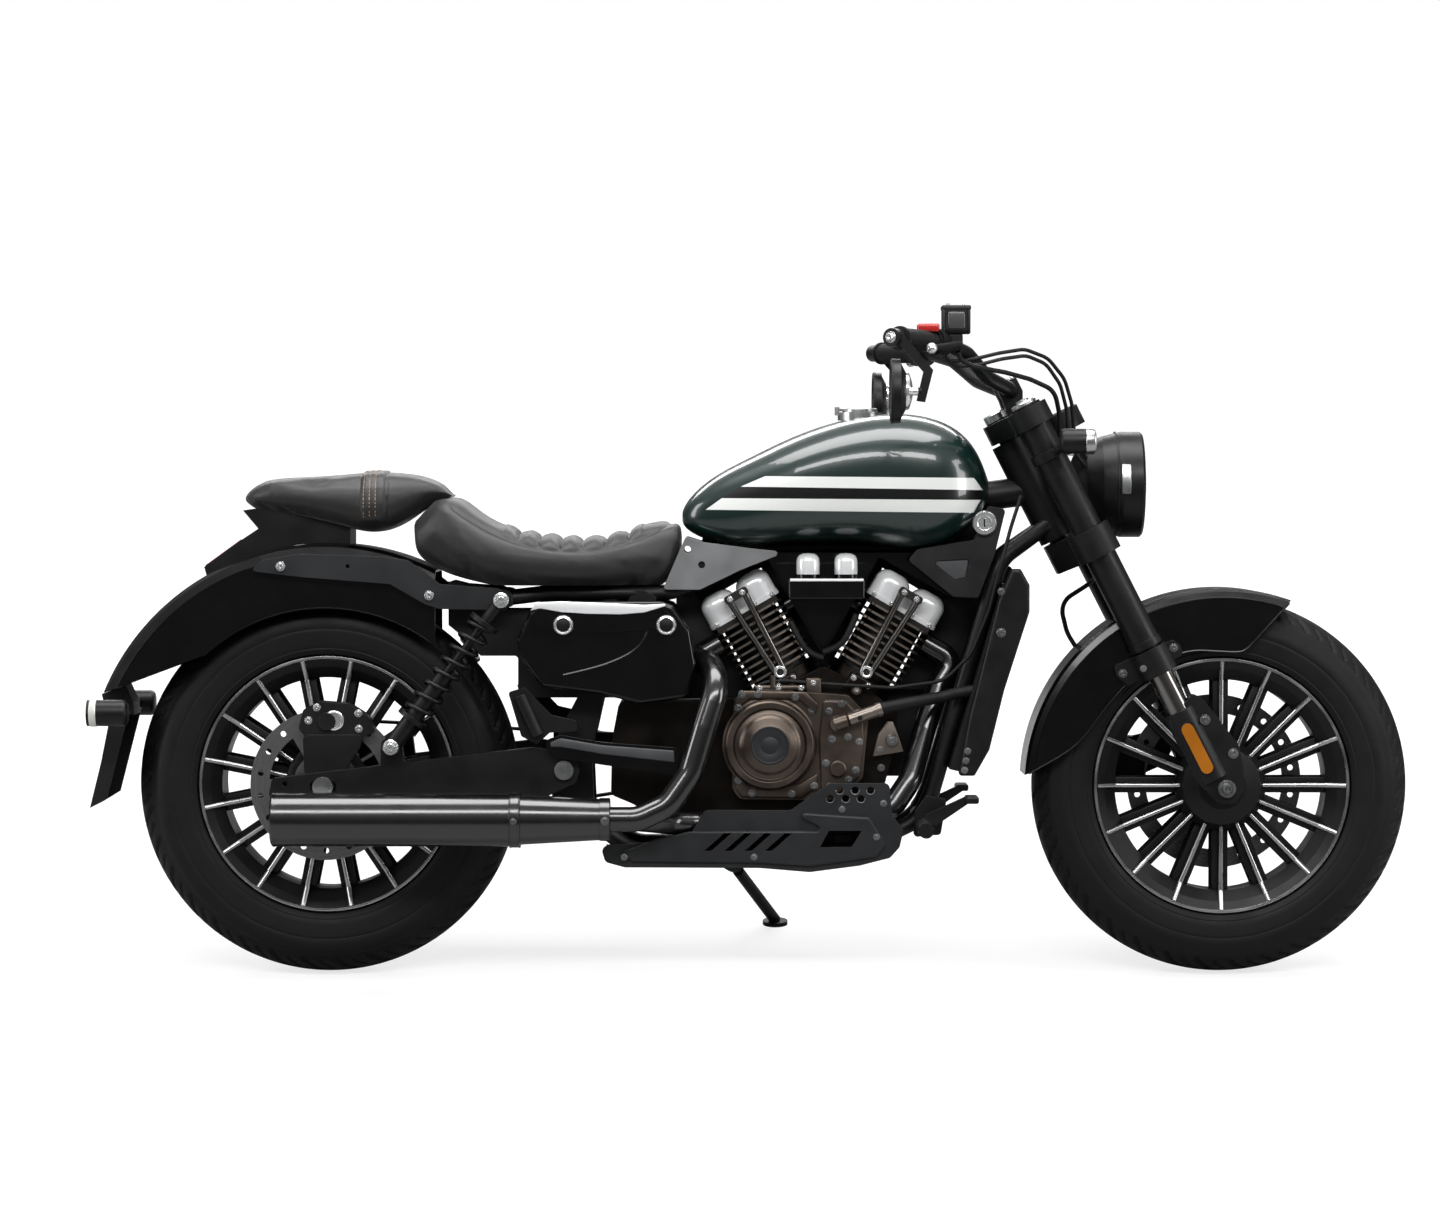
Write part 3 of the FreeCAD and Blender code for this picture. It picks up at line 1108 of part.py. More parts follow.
def headlamp_lens():
    x1 = WHEELBASE - HEADLAMP_SETBACK
    r = HEADLAMP_R - 10 - FIT_GAP
    bulge = 9.0
    dome_r = (r * r + bulge * bulge) / (2 * bulge)
    disc = rod((x1 - 12 + FIT_GAP, 0, HEADLAMP_Z), (x1 + 10, 0, HEADLAMP_Z), r)
    dome = Part.makeSphere(dome_r, V(x1 + 7 - dome_r, 0, HEADLAMP_Z))
    return disc.common(dome)


def instrument():
    """The round gauge ahead of the upper clamp, on its stay."""
    body = Part.makeCylinder(41, 32, V(36, 0, 656))
    body = soften(body, 5, lambda e: e.BoundBox.ZMin > 687)
    stay = box(-20 + FIT_GAP, 10, -14, 14, 690, 700)
    post = box(-2, 10, -14, 14, 680, 700)
    return fork_place(fuse([body, stay, post]))


BAR_RIGHT = from_axle([(-565, -400, 1068), (-482, -262, 1064), (-444, -205, 1050), (-406, -132, 1012)])


def handlebar():
    bar_x, bar_z = BAR_SEAT
    middle = fork_point(bar_x, 0, bar_z)
    right = BAR_RIGHT + [(middle[0], -78, middle[2])]
    left = [(x, -y, z) for x, y, z in reversed(right)]
    return bent_tube(right + left, BAR_R, 60)


def along_grip(t):
    """A point on the right grip's middle line, t millimetres in from the bar's end."""
    end = V(*BAR_RIGHT[0])
    way = (V(*BAR_RIGHT[1]) - end).normalize()
    return end + way * t


def both_hands(shape):
    return Part.makeCompound([shape, mirrored(shape)])


def grips():
    grip = rod(along_grip(2), along_grip(118), GRIP_R)
    for t in (4, 112):
        grip = grip.fuse(rod(along_grip(t), along_grip(t + 5), GRIP_R + 3))
    grip = grip.cut(rod(along_grip(-5), along_grip(130), BAR_R + FIT_GAP))
    return both_hands(grip.removeSplitter())


def hand_controls():
    """Switch housing, perch, lever and, on the right, the brake's reservoir."""
    bore = rod(along_grip(-5), along_grip(170), BAR_R + FIT_GAP)
    near = along_grip(119)
    far = along_grip(150)
    housing = rod(near, far, 23)
    end_x = BAR_RIGHT[0][0]
    perch = soften(box(end_x + 81, end_x + 111, -290, -266, 1052, 1080), 5, lambda e: True)
    tip = (end_x + 55, -392, 1052)
    lever = bent_tube([(end_x + 103, -278, 1064), (end_x + 105, -304, 1062), (end_x + 83, -346, 1057), tip],
                      5.5, 60)
    ball = Part.makeSphere(8.5, V(*tip))
    base = fuse([housing, perch, lever, ball])
    reservoir = soften(box(end_x + 77, end_x + 123, -296, -248, 1079, 1123), 7, lambda e: True)
    right = fuse([base, reservoir]).cut(bore)
    left = mirrored(base.cut(bore))
    return Part.makeCompound([right, left])


def mirrors():
    """Round mirrors that hang from the bar ends."""
    clamp = rod(along_grip(-FIT_GAP), along_grip(-24), 15)
    x = BAR_RIGHT[0][0]
    stay = side_plate([(x - 5, 1076), (x + 7, 1074), (x + 56, 1016), (x + 43, 964), (x + 29, 966),
                       (x + 40, 1013), (x - 7, 1066)], -419, -411)
    stud = rod((x + 37, -415, 982), (x + 7, -415, 982), 6)
    head = Part.makeCylinder(MIRROR_R, 14, V(x - 11, -415, 982), V(1, 0, 0))
    back = Part.makeCone(MIRROR_R - 3, 24, 13, V(x + 2, -415, 982), V(1, 0, 0))
    return both_hands(fuse([clamp, stay, stud, head, back]))


def front_indicators():
    ring = Part.makeCylinder(LEG_R + 5, 16, V(-LEG_OFFSET, -LEG_Y, 628))
    ring = ring.cut(Part.makeCylinder(LEG_R + FIT_GAP, 20, V(-LEG_OFFSET, -LEG_Y, 626)))
    ring = fork_place(ring)
    back, face = from_axle([(-286, -176, 904), (-228, -176, 904)])
    lamp = rod(back, face, 21)
    lamp = soften(lamp, 8, lambda e: e.BoundBox.XMax < back[0] + 2)
    start = fork_point(-LEG_OFFSET + 10, -LEG_Y - LEG_R + 1, 636)
    stalk = rod(start, (back[0] + 16, -168, 902), 7)
    return both_hands(fuse([ring, lamp, stalk]).cut(
        fork_place(Part.makeCylinder(LEG_R + FIT_GAP, 60, V(-LEG_OFFSET, -LEG_Y, 600)))))


def control_cables():
    """Throttle cables from the right hand to the lamp shell, and the front brake's hose."""
    near = bent_tube([(1022.5, -264.2, 1051.4), (1046, -232, 1034), (1090, -212, 1040), (1130, -196, 1050),
                      (1176, -160, 1058), (1218, -122, 1044), (1248, -94, 1010), (1262, -76, 968),
                      (1266, -64, 928), (1278, -54, 892), (1300, -44, 864)], 3.2, 60)
    far = bent_tube([(1032.6, -270.6, 1046.1), (1054, -238, 1026), (1096, -220, 1030), (1134, -204, 1040),
                     (1178, -170, 1047), (1214, -134, 1034), (1240, -106, 1000), (1252, -86, 960),
                     (1256, -74, 922), (1268, -64, 886), (1290, -54, 858)], 3.2, 60)
    hose = bent_tube([(1058, -278, 1049.8), (1064, -271, 1036), (1086, -254, 1026), (1142, -196, 1018),
                      (1186, -150, 1008), (1230, -112, 990), (1240, -86, 952), (1242, -68, 908),
                      (1242, -60, 862), (1254, -58, 816),
                      (1268, -57, 770), fork_point(-12, -52, 436), fork_point(-20, -10, 418),
                      fork_point(-30, 40, 404), (1254, 76, 628), (1268, 92, 575), (1306, 96, 515),
                      (1352, 97, 462), fork_point(-112, 96, 152)], 4, 60)
    loops = [near, far]
    return [loops, hose]


# Left-hand and hanging pieces

def stand_frame():
    """The stand's pivot, its down and folded directions, its hinge axis and its swing."""
    pivot = V(*STAND_PIVOT)
    fx, fy = STAND_FOOT
    lean = math.radians(LEAN)
    floor_z = fy * math.tan(lean) - CROWN_R * (1 / math.cos(lean) - 1)
    foot = V(fx, fy, floor_z)
    down = (foot - pivot).normalize()
    folded = V(-0.97, 0.2, 0.1).normalize()
    axis = down.cross(folded).normalize()
    swing = math.degrees(down.getAngle(folded))
    return pivot, foot, down, folded, axis, swing


def side_stand():
    pivot, foot, down, folded, axis, swing = stand_frame()
    lean = math.radians(LEAN)
    up = V(0, -math.sin(lean), math.cos(lean))
    eye = Part.makeCylinder(17, 12, pivot - axis * 6, axis)
    heel = foot + up * 8
    neck = Part.makeCylinder(5.8, 30, pivot, heel - pivot)
    leg_start = pivot + (heel - pivot).normalize() * STAND_CLEAR
    leg = Part.makeCylinder(STAND_R - 2, (heel - leg_start).Length, leg_start, heel - leg_start)
    pad = Part.makeCylinder(22, 7, foot, up)
    stand = fuse([eye, neck, leg, pad])
    return stand.cut(Part.makeCylinder(6 + FIT_GAP, 30, pivot - axis * 15, axis))


def stand_bracket():
    """The lug on the left rail with the stand's hinge pin."""
    pivot, foot, down, folded, axis, swing = stand_frame()
    lug = Part.makeCylinder(17, 19, pivot + axis * 6.5, axis)
    pin = Part.makeCylinder(6, 27, pivot - axis * 9, axis)
    head = Part.makeCylinder(10, 4, pivot - axis * 10.5, axis)
    arm_end = V(STAND_PIVOT[0] + 12, RAIL_Y, RAIL_Z)
    arm_start = pivot + axis * 17
    arm = Part.makeCylinder(8, (arm_end - arm_start).Length, arm_start, arm_end - arm_start)
    return [lug, pin, head, arm]


def foot_controls():
    """Forward pegs on their brackets, with the brake pedal right and the gear lever left."""
    sides = []
    tube_y = -DOWNTUBE_Y - RAIL_R - FIT_GAP
    plate_y = tube_y - 8
    for side in (-1, 1):
        bracket = rounded_plate([(994, 236), (1040, 240), (1050, 300), (1016, 306), (998, 280)],
                                plate_y - 18, plate_y, 6)
        seat = cross_rod(downtube_x(290), 290, plate_y - 4, tube_y, 9)
        peg = rod((1010, plate_y - 10, 256), (1010, -222, 256), 13)
        arm = rounded_plate([(1010, 262), (1030, 258), (1092, 300), (1086, 310), (1012, 276)], -136, -128, 4)
        hinge = rod((1022, plate_y - 10, 268), (1022, -130, 268), 7)
        pad = soften(box(1078, 1100, -186, -128, 298, 310), 4, lambda e: True)
        one = fuse([bracket, seat, peg, arm, hinge, pad])
        sides.append(one if side < 0 else mirrored(one))
    return Part.makeCompound(sides)


def passenger_pegs():
    sides = []
    for side in (-1, 1):
        plate = rounded_plate([(312, 484), (340, 492), (384, 446), (426, 436), (428, 418), (382, 416),
                               (360, 396), (334, 410)], -160, -153, 5)
        leg = cross_rod(418, 426, -155, -PLATE_OUT_Y - FIT_GAP, 6)
        peg = rod((362, -170, 412), (332, -170, 478), 11)
        one = fuse([plate, leg, peg])
        sides.append(one if side < 0 else mirrored(one))
    return Part.makeCompound(sides)


def plate_holder():
    """The bare number plate carrier on its arm below the fender's tip."""
    arm = side_plate([(-386, 475.4), (-345, 490.7), (-332, 462), (-330, 440), (-362, 436), (-382, 458)],
                     -38, 38)
    shell = side_plate([(-364, 446), (-334, 446), (-371, 302), (-400, 284), (-381, 361)], -86, 86)
    hollow = side_plate([(-358, 442), (-320, 442), (-360, 300), (-394, 290), (-376, 361)], -82, 82)
    plate = fuse([shell.cut(hollow), arm])
    holes = [cross_rod(0, 0, 0, 30, PLATE_HOLE_R) for y in (-1, 1)]
    for hole, y in zip(holes, (-PLATE_HOLE_Y, PLATE_HOLE_Y)):
        hole.rotate(V(0, 0, 0), V(0, 0, 1), 90)
        hole.translate(V(-360, y, PLATE_HOLE_Z))
    return plate.cut(holes)


def rear_indicators():
    stalk = rod((-352, -38 - FIT_GAP, 458), (-352, -176, 454), 7)
    lamp = rod((-322, -180, 450), (-390, -180, 450), 22)
    lamp = soften(lamp, 9, lambda e: e.BoundBox.XMin > -324)
    return both_hands(fuse([stalk, lamp]))


def clutch_cable():
    return bent_tube([(1178, -50, 812), (1160, -78, 762), (1142, -93, 700), (1122, -93, 620), (1092, -93, 546),
                      (1046, -93, 500), (960, -93, 488), (860, -92, 494), (780, -91, 500), (742, -90, 498),
                      (722, -89, 484), (714, -88, 470)], 3.2, 60)


def shapes():
    """Every piece by name, with the body that it moves with."""
    nodes = {}

    def add(body, name, shape):
        nodes[name] = (body, shape)

    for name, shape in front_wheel().items():
        add("front_wheel", name, shape)
    for name, shape in rear_wheel().items():
        add("rear_wheel", name, shape)
    add("chassis", "main_frame", main_frame())
    add("chassis", "frame_covers", Part.makeCompound(
        [head_gusset(-1), head_gusset(1), seat_plate(-1), seat_plate(1)]))
    add("chassis", "swingarm", swingarm())
    add("chassis", "pivot_shaft", pivot_shaft())
    add("chassis", "rear_axle", rear_axle())
    add("chassis", "rear_caliper", rear_caliper())
    add("chassis", "drive_belt", belt())
    add("chassis", "front_pulley", front_pulley())
    add("chassis", "shocks", Part.makeCompound([shock(-1), shock(1)]))
    add("chassis", "rear_fender", rear_fender())
    add("chassis", "fender_struts", Part.makeCompound([fender_strut(-1), fender_strut(1)]))
    add("chassis", "tail_trim", tail_trim())
    add("chassis", "plate_holder", plate_holder())
    add("chassis", "rear_indicators", rear_indicators())
    add("chassis", "battery_box", battery_box())
    add("chassis", "side_covers", Part.makeCompound(
        [side_panel(-1), side_panel(1), pivot_cover(-1), pivot_cover(1)]))
    add("chassis", "passenger_pegs", passenger_pegs())
    add("chassis", "fuel_tank", fuel_tank())
    add("chassis", "filler_neck", filler_neck())
    add("filler_lid", "filler_lid", filler_lid())
    add("chassis", "rider_seat", rider_seat())
    add("chassis", "pillion_seat", pillion_seat())
    add("chassis", "crankcase", crankcase())
    add("chassis", "clutch_cover", engine_cover(-1))
    add("chassis", "left_covers", Part.makeCompound([engine_cover(1), pulley_cover()]))
    add("chassis", "cylinders", Part.makeCompound([cylinder(False), cylinder(True)]))
    add("chassis", "rocker_covers", Part.makeCompound([rocker_cover(False), rocker_cover(True)]))
    add("chassis", "pushrods", Part.makeCompound([pushrods(False), pushrods(True)]))
    add("chassis", "intake", intake())
    add("chassis", "radiator", radiator())
    add("chassis", "radiator_shrouds", Part.makeCompound([radiator_shroud(-1), radiator_shroud(1)]))
    add("chassis", "exhaust_headers", Part.makeCompound([rear_header(), front_header()]))
    add("chassis", "muffler", muffler())
    add("chassis", "belly_pan", belly_pan())
    add("chassis", "foot_controls", foot_controls())
    add("chassis", "clutch_cable", clutch_cable().cut(nodes["clutch_cover"][1]))
    add("side_stand", "side_stand", side_stand())
    add("steering", "fork_tubes", fork_tubes())
    add("steering", "fork_feet", fork_feet())
    add("steering", "lower_clamp", lower_clamp())
    add("steering", "upper_clamp", upper_clamp())
    add("steering", "front_axle", front_axle())
    add("steering", "front_caliper", front_caliper())
    add("steering", "front_fender", front_fender())
    add("steering", "headlamp", headlamp())
    add("steering", "headlamp_lens", headlamp_lens())
    add("steering", "instrument", instrument())
    add("steering", "handlebar", handlebar())
    add("steering", "grips", grips())
    add("steering", "hand_controls", hand_controls())
    add("steering", "mirrors", mirrors())
    add("steering", "front_indicators", front_indicators())
    throttle, hose = control_cables()
    shell = nodes["headlamp"][1]
    add("steering", "control_cables", Part.makeCompound([c.cut(shell) for c in throttle] + [hose]))
    return nodes


def lean_over(shape):
    """Lean a piece to the left about the line on which the tyres stand."""
    leaned = shape.copy()
    leaned.rotate(V(0, 0, 0), V(1, 0, 0), -LEAN)
    return leaned


def main():
    nodes = shapes()
    leaned = {name: lean_over(shape) for name, (body, shape) in nodes.items()}
    whole = FreeCAD.BoundBox()
    for shape in leaned.values():
        whole.add(shape.optimalBoundingBox(True, False))
    shift = V(-(whole.XMin + whole.XMax) / 2, -(whole.YMin + whole.YMax) / 2, -whole.ZMin)
    print("lean, then shift by", round(shift.x, 4), round(shift.y, 4), round(shift.z, 4))
    print("size", round(whole.XLength, 1), round(whole.YLength, 1), round(whole.ZLength, 1))
    os.makedirs("parts", exist_ok=True)
    for name, shape in leaned.items():
        shape.translate(shift)
        print(name, len(shape.Solids), "solid(s)", round(shape.Volume / 1000), "cm3")
        shape.exportStep("parts/" + name + ".step")


main()
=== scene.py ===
# %% [markdown]
# A cruiser motorcycle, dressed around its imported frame. The construction brings the big shapes at their real
# size, and this file adds finishes, soft seats, tyre treads, bolts and trim. The machine stands leaning on its
# side stand, which is an awkward way to draw it. So every piece is first modelled upright, in millimetres,
# with X forward, Y to the rider's left and the origin on the floor below the rear axle. One matrix then leans
# it over into the frame's own place.

# %% Load the frame
import json
import math

import bmesh
import bpy
from mathutils import Matrix, Vector


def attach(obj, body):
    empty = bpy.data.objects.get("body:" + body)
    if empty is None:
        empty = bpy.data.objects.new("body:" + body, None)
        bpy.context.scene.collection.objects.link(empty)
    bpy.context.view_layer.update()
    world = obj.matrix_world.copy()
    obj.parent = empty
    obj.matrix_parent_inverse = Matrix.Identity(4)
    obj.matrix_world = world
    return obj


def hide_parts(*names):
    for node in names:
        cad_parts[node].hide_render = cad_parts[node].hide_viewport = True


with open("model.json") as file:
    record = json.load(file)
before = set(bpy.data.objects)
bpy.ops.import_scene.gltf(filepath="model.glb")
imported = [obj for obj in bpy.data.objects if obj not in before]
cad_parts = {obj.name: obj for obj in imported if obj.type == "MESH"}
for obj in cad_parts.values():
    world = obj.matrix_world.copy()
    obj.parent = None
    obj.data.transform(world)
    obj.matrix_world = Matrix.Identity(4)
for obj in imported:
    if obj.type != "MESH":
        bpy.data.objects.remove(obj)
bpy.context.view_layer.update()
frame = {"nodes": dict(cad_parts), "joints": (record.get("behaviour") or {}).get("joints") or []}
joints = {joint["name"]: joint for joint in frame["joints"]}
nodes = frame["nodes"]
bpy.context.scene.view_settings.view_transform = "Standard"

# %% [markdown]
# The lean and the place come from the frame itself: the rear wheel's axle gives the direction of the
# machine's own Y, and its centre, 324 mm above the tyre's foot, gives the shift. So nothing is fitted by eye.

# %% From the upright machine to the leaning one
MM = 0.001
WHEELBASE = 1520.0
RAKE = math.radians(27.0)
REAR_R = 324.0
FRONT_R = 320.0

axle_way = Vector(joints["rear_wheel_spin"]["axis"])
lean = math.atan2(axle_way.z, axle_way.y)
lean_turn = Matrix.Rotation(lean, 4, "X")
rear_centre = Vector(joints["rear_wheel_spin"]["pos_m"])
LEAN = Matrix.Translation(rear_centre - lean_turn @ Vector((0, 0, REAR_R * MM))) @ lean_turn
UPRIGHT = LEAN.inverted()
FORK = (
    Matrix.Translation((WHEELBASE, 0, FRONT_R))
    @ Matrix.Rotation(-RAKE, 4, "Y")
)
print("lean", round(math.degrees(lean), 2), "degrees")

# %% [markdown]
# Every finished piece ends the same way: its bmesh, modelled in millimetres, is leaned over and scaled to
# metres inside the mesh, its object stays at the origin, and it rides on the body that carries it.

# %% Turning a bmesh into a riding piece
def new_mesh(name, bm, angle=35.0):
    """A mesh object in the frame, smooth apart from edges sharper than angle."""
    bmesh.ops.transform(bm, matrix=LEAN @ Matrix.Scale(MM, 4), verts=bm.verts)
    for face in bm.faces:
        face.smooth = True
    for edge in bm.edges:
        edge.smooth = len(edge.link_faces) != 2 or edge.calc_face_angle() < math.radians(angle)
    mesh = bpy.data.meshes.new(name)
    bm.to_mesh(mesh)
    bm.free()
    piece = bpy.data.objects.new(name, mesh)
    bpy.context.scene.collection.objects.link(piece)
    return piece


def piece_from(name, bm, body, material, stands_for=(), angle=35.0):
    """Finish a bmesh as a piece of the machine, with its material and body, hiding the parts it stands for."""
    piece = new_mesh(name, bm, angle)
    for one in material if isinstance(material, list) else [material]:
        piece.data.materials.append(one)
    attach(piece, body)
    if stands_for:
        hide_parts(*stands_for)
    print(name, len(piece.data.polygons), "faces")
    return piece


# %% [markdown]
# A part is easiest to draw in its own axes, with Z along its bolt or bore, and then set down on the machine.
# The editor would do that with an object's location and rotation. Here it is a matrix, a place, because the
# finished object has to stay at the origin with its position inside its mesh.

# %% Places
def across(x, y, z):
    """A place whose Z axis points along the machine's Y, for things turned about a crosswise line."""
    return Matrix.Translation((x, y, z)) @ Matrix.Rotation(math.radians(-90), 4, "X")


def along(start, end):
    """A place at start whose Z axis points to end."""
    start = Vector(start)
    turn = (Vector(end) - start).to_track_quat("Z", "Y").to_matrix().to_4x4()
    return Matrix.Translation(start) @ turn


def facing_right(x, y, z):
    """A place whose Z axis points out of the machine's right side."""
    return Matrix.Translation((x, y, z)) @ Matrix.Rotation(math.radians(90), 4, "X")


def facing_left(x, y, z):
    """The mirror of facing_right: its Z axis points out of the left side."""
    return Matrix.Translation((x, -y, z)) @ Matrix.Rotation(math.radians(-90), 4, "X")


BOTH_SIDES = (facing_right, facing_left)
print("places face", len(BOTH_SIDES), "sides, along a line or across the machine")

# %% [markdown]
# Round parts are turned: an outline of radius and height is spun about Z, like work in a lathe. A cylinder
# primitive can't carry the small steps and rounded rims that make a turned part look real. Each shape is
# made loose in a bmesh of its own and poured into the piece, so that a whole family of parts shares one object.

# %% Turned shapes and bands
def pour(bm, loose, place, mat=0, hollow=False):
    """Add a loose shape to a bmesh at its place, with its faces turned outwards, or inwards in a hollow."""
    bmesh.ops.recalc_face_normals(loose, faces=loose.faces)
    if hollow:
        bmesh.ops.reverse_faces(loose, faces=loose.faces)
    for face in loose.faces:
        face.material_index = mat
    bmesh.ops.transform(loose, matrix=place, verts=loose.verts)
    mesh = bpy.data.meshes.new("loose_shape")
    loose.to_mesh(mesh)
    loose.free()
    bm.from_mesh(mesh)
    bpy.data.meshes.remove(mesh)


def turned(bm, profile, place, steps=48, mat=0):
    """Spin an outline of (radius, height) points about the Z axis of a place."""
    loose = bmesh.new()
    line = [loose.verts.new((r, 0, h)) for r, h in profile]
    edges = [loose.edges.new(pair) for pair in zip(line, line[1:])]
    bmesh.ops.spin(loose, geom=line + edges, cent=(0, 0, 0), axis=(0, 0, 1), angle=math.radians(360),
                   steps=steps, use_merge=True, use_duplicate=False)
    bmesh.ops.remove_doubles(loose, verts=loose.verts, dist=0.001)
    pour(bm, loose, place, mat)


def arc_band(bm, outline, place, start, end, steps, mat=0):
    """Sweep a closed outline of (radius, height) points about Z, from one angle to another in degrees."""
    loose = bmesh.new()
    face = loose.faces.new([loose.verts.new((r, 0, h)) for r, h in outline])
    bmesh.ops.spin(loose, geom=[face] + face.edges[:] + face.verts[:], cent=(0, 0, 0), axis=(0, 0, 1),
                   angle=math.radians(end - start), steps=steps, use_merge=False, use_duplicate=False)
    pour(bm, loose, place @ Matrix.Rotation(math.radians(start), 4, "Z"), mat)


# %% [markdown]
# Bars, blocks and plates come from Blender's primitives. A cone with two equal ends is a bar. A cube with
# bevelled edges is a block, since no real edge is quite sharp. A flat outline is extruded into a plate.

# %% Bars, blocks and plates
def bar(bm, start, end, radius, radius_end=None, steps=20, mat=0):
    """A round bar with closed ends from start to end."""
    length = (Vector(end) - Vector(start)).length
    made = bmesh.ops.create_cone(
        bm, cap_ends=True, segments=steps, radius1=radius,
        radius2=radius if radius_end is None else radius_end, depth=length)
    place = along(start, end) @ Matrix.Translation((0, 0, length / 2))
    bmesh.ops.transform(bm, matrix=place, verts=made["verts"])
    for face in {face for vert in made["verts"] for face in vert.link_faces}:
        face.material_index = mat
    return made["verts"]


def block(bm, low, high, rounding=0.0, place=None, mat=0):
    """A box from its low corner to its high corner, with rounded edges."""
    loose = bmesh.new()
    bmesh.ops.create_cube(loose, size=1.0)
    size = Vector(high) - Vector(low)
    bmesh.ops.transform(loose, matrix=Matrix.Diagonal((*size, 1.0)), verts=loose.verts)
    if rounding:
        bmesh.ops.bevel(loose, geom=loose.edges[:], offset=rounding, offset_type="OFFSET", affect="EDGES",
                        segments=3, profile=0.5, material=-1)
    middle = Matrix.Translation((Vector(high) + Vector(low)) / 2)
    pour(bm, loose, place @ middle if place else middle, mat)


def plate(bm, outline, y_back, y_face, rounding=2.0, mat=0):
    """A flat plate with a bevelled rim, from a side outline of (x, z) corners."""
    loose = bmesh.new()
    face = loose.faces.new([loose.verts.new((x, y_back, z)) for x, z in outline])
    made = bmesh.ops.extrude_face_region(loose, geom=[face])
    front = [item for item in made["geom"] if isinstance(item, bmesh.types.BMVert)]
    bmesh.ops.translate(loose, vec=(0, y_face - y_back, 0), verts=front)
    rim = list({edge for vert in front for edge in vert.link_edges})
    bmesh.ops.bevel(loose, geom=rim, offset=rounding, offset_type="OFFSET", affect="EDGES", segments=3,
                    profile=0.5, material=-1)
    pour(bm, loose, Matrix(), mat)


# %% [markdown]
# A hose is a circle swept along a smooth line. A chain of short bars would show its corners, while a NURBS
# curve with a bevel depth bends evenly through a few control points and is then turned into a mesh.

# %% Hoses and beads
def hose(bm, points, radius, steps=12, mat=0):
    """A round hose, pipe or bead along a smooth curve through its control points."""
    data = bpy.data.curves.new("hose_line", "CURVE")
    data.dimensions = "3D"
    data.resolution_u = 8
    spline = data.splines.new("NURBS")
    spline.points.add(len(points) - 1)
    for point, spot in zip(spline.points, points):
        point.co = (*spot, 1.0)
    spline.order_u = 3
    spline.use_endpoint_u = True
    data.bevel_depth = radius
    data.bevel_resolution = steps // 4
    data.use_fill_caps = True
    thread = bpy.data.objects.new("hose_line", data)
    mesh = bpy.data.meshes.new_from_object(thread)
    loose = bmesh.new()
    loose.from_mesh(mesh)
    bpy.data.objects.remove(thread)
    bpy.data.curves.remove(data)
    bpy.data.meshes.remove(mesh)
    bmesh.ops.remove_doubles(loose, verts=loose.verts, dist=0.01)
    pour(bm, loose, Matrix(), mat)


# %% [markdown]
# Almost every screw on the machine is a socket bolt on a washer. The head is turned, and the hexagonal pit
# is a circle of six points whose edges are pulled up into walls. It looks down into the head, so its faces
# point inwards and upwards, the other way round than those of a solid.

# %% Socket bolts
def hex_bolt(bm, place, size=10.0, mat=0):
    """A socket bolt: a washer, a round head with a soft rim and a hexagonal pit."""
    r = size / 2
    turned(bm, [(0, 0), (r * 1.45, 0), (r * 1.45, size * 0.1), (r, size * 0.1), (r, size * 0.48),
                (r * 0.85, size * 0.6), (r * 0.5, size * 0.6)], place, 20, mat=mat)
    pit = bmesh.new()
    floor = Matrix.Translation((0, 0, size * 0.3)) @ Matrix.Rotation(math.radians(90), 4, "Z")
    bmesh.ops.create_circle(pit, cap_ends=True, segments=6, radius=r * 0.5, matrix=floor)
    walls = bmesh.ops.extrude_edge_only(pit, edges=pit.edges[:])
    rim = [item for item in walls["geom"] if isinstance(item, bmesh.types.BMVert)]
    bmesh.ops.translate(pit, vec=(0, 0, size * 0.3), verts=rim)
    pour(bm, pit, place, mat, hollow=True)


# %% [markdown]
# Colours are written as the hex values seen on the machine. Shaders work in linear light, so one function
# turns a hex value into linear red, green and blue. Nodes could be added and wired by hand in the editor.
# One small function does it here, so that a material reads as a list of what it is made of.

# %% Colour and node helpers
def colour(hex_value):
    """Linear RGBA from an sRGB hex value."""
    parts = [int(hex_value[i:i + 2], 16) / 255 for i in (1, 3, 5)]
    return tuple(p / 12.92 if p <= 0.04045 else ((p + 0.055) / 1.055) ** 2.4 for p in parts) + (1.0,)


def add_node(tree, kind, values=None, links=None, **settings):
    """Add one node with its settings, its socket values and its incoming links."""
    one = tree.nodes.new(kind)
    for key, value in settings.items():
        setattr(one, key, value)
    for socket, value in (values or {}).items():
        one.inputs[socket].default_value = value
    for socket, source in (links or {}).items():
        tree.links.new(source, one.inputs[socket])
    return one


def start_material(name, **values):
    """A material with one Principled BSDF; returns the material, its tree, the shader and Object coordinates."""
    material = bpy.data.materials.new(name)
    material.use_nodes = True
    tree = material.node_tree
    shader = tree.nodes["Principled BSDF"]
    for socket, value in values.items():
        shader.inputs[socket.replace("_", " ")].default_value = value
    coords = add_node(tree, "ShaderNodeTexCoord").outputs["Object"]
    return material, tree, shader, coords


# %% [markdown]
# No real surface is even. One number for roughness would do, but it looks like plastic from any distance. So
# each finish lets its roughness and its colour wander slowly between two values, in blotches about 45 mm
# wide, and raises a fine grain at its real scale in millimetres. Where an edge radius is given, the Bevel
# node rounds the shading of sharp edges, and corners catch the light as they do on a painted casting.

# %% An uneven finish
BLOTCH_SCALE = 22.0


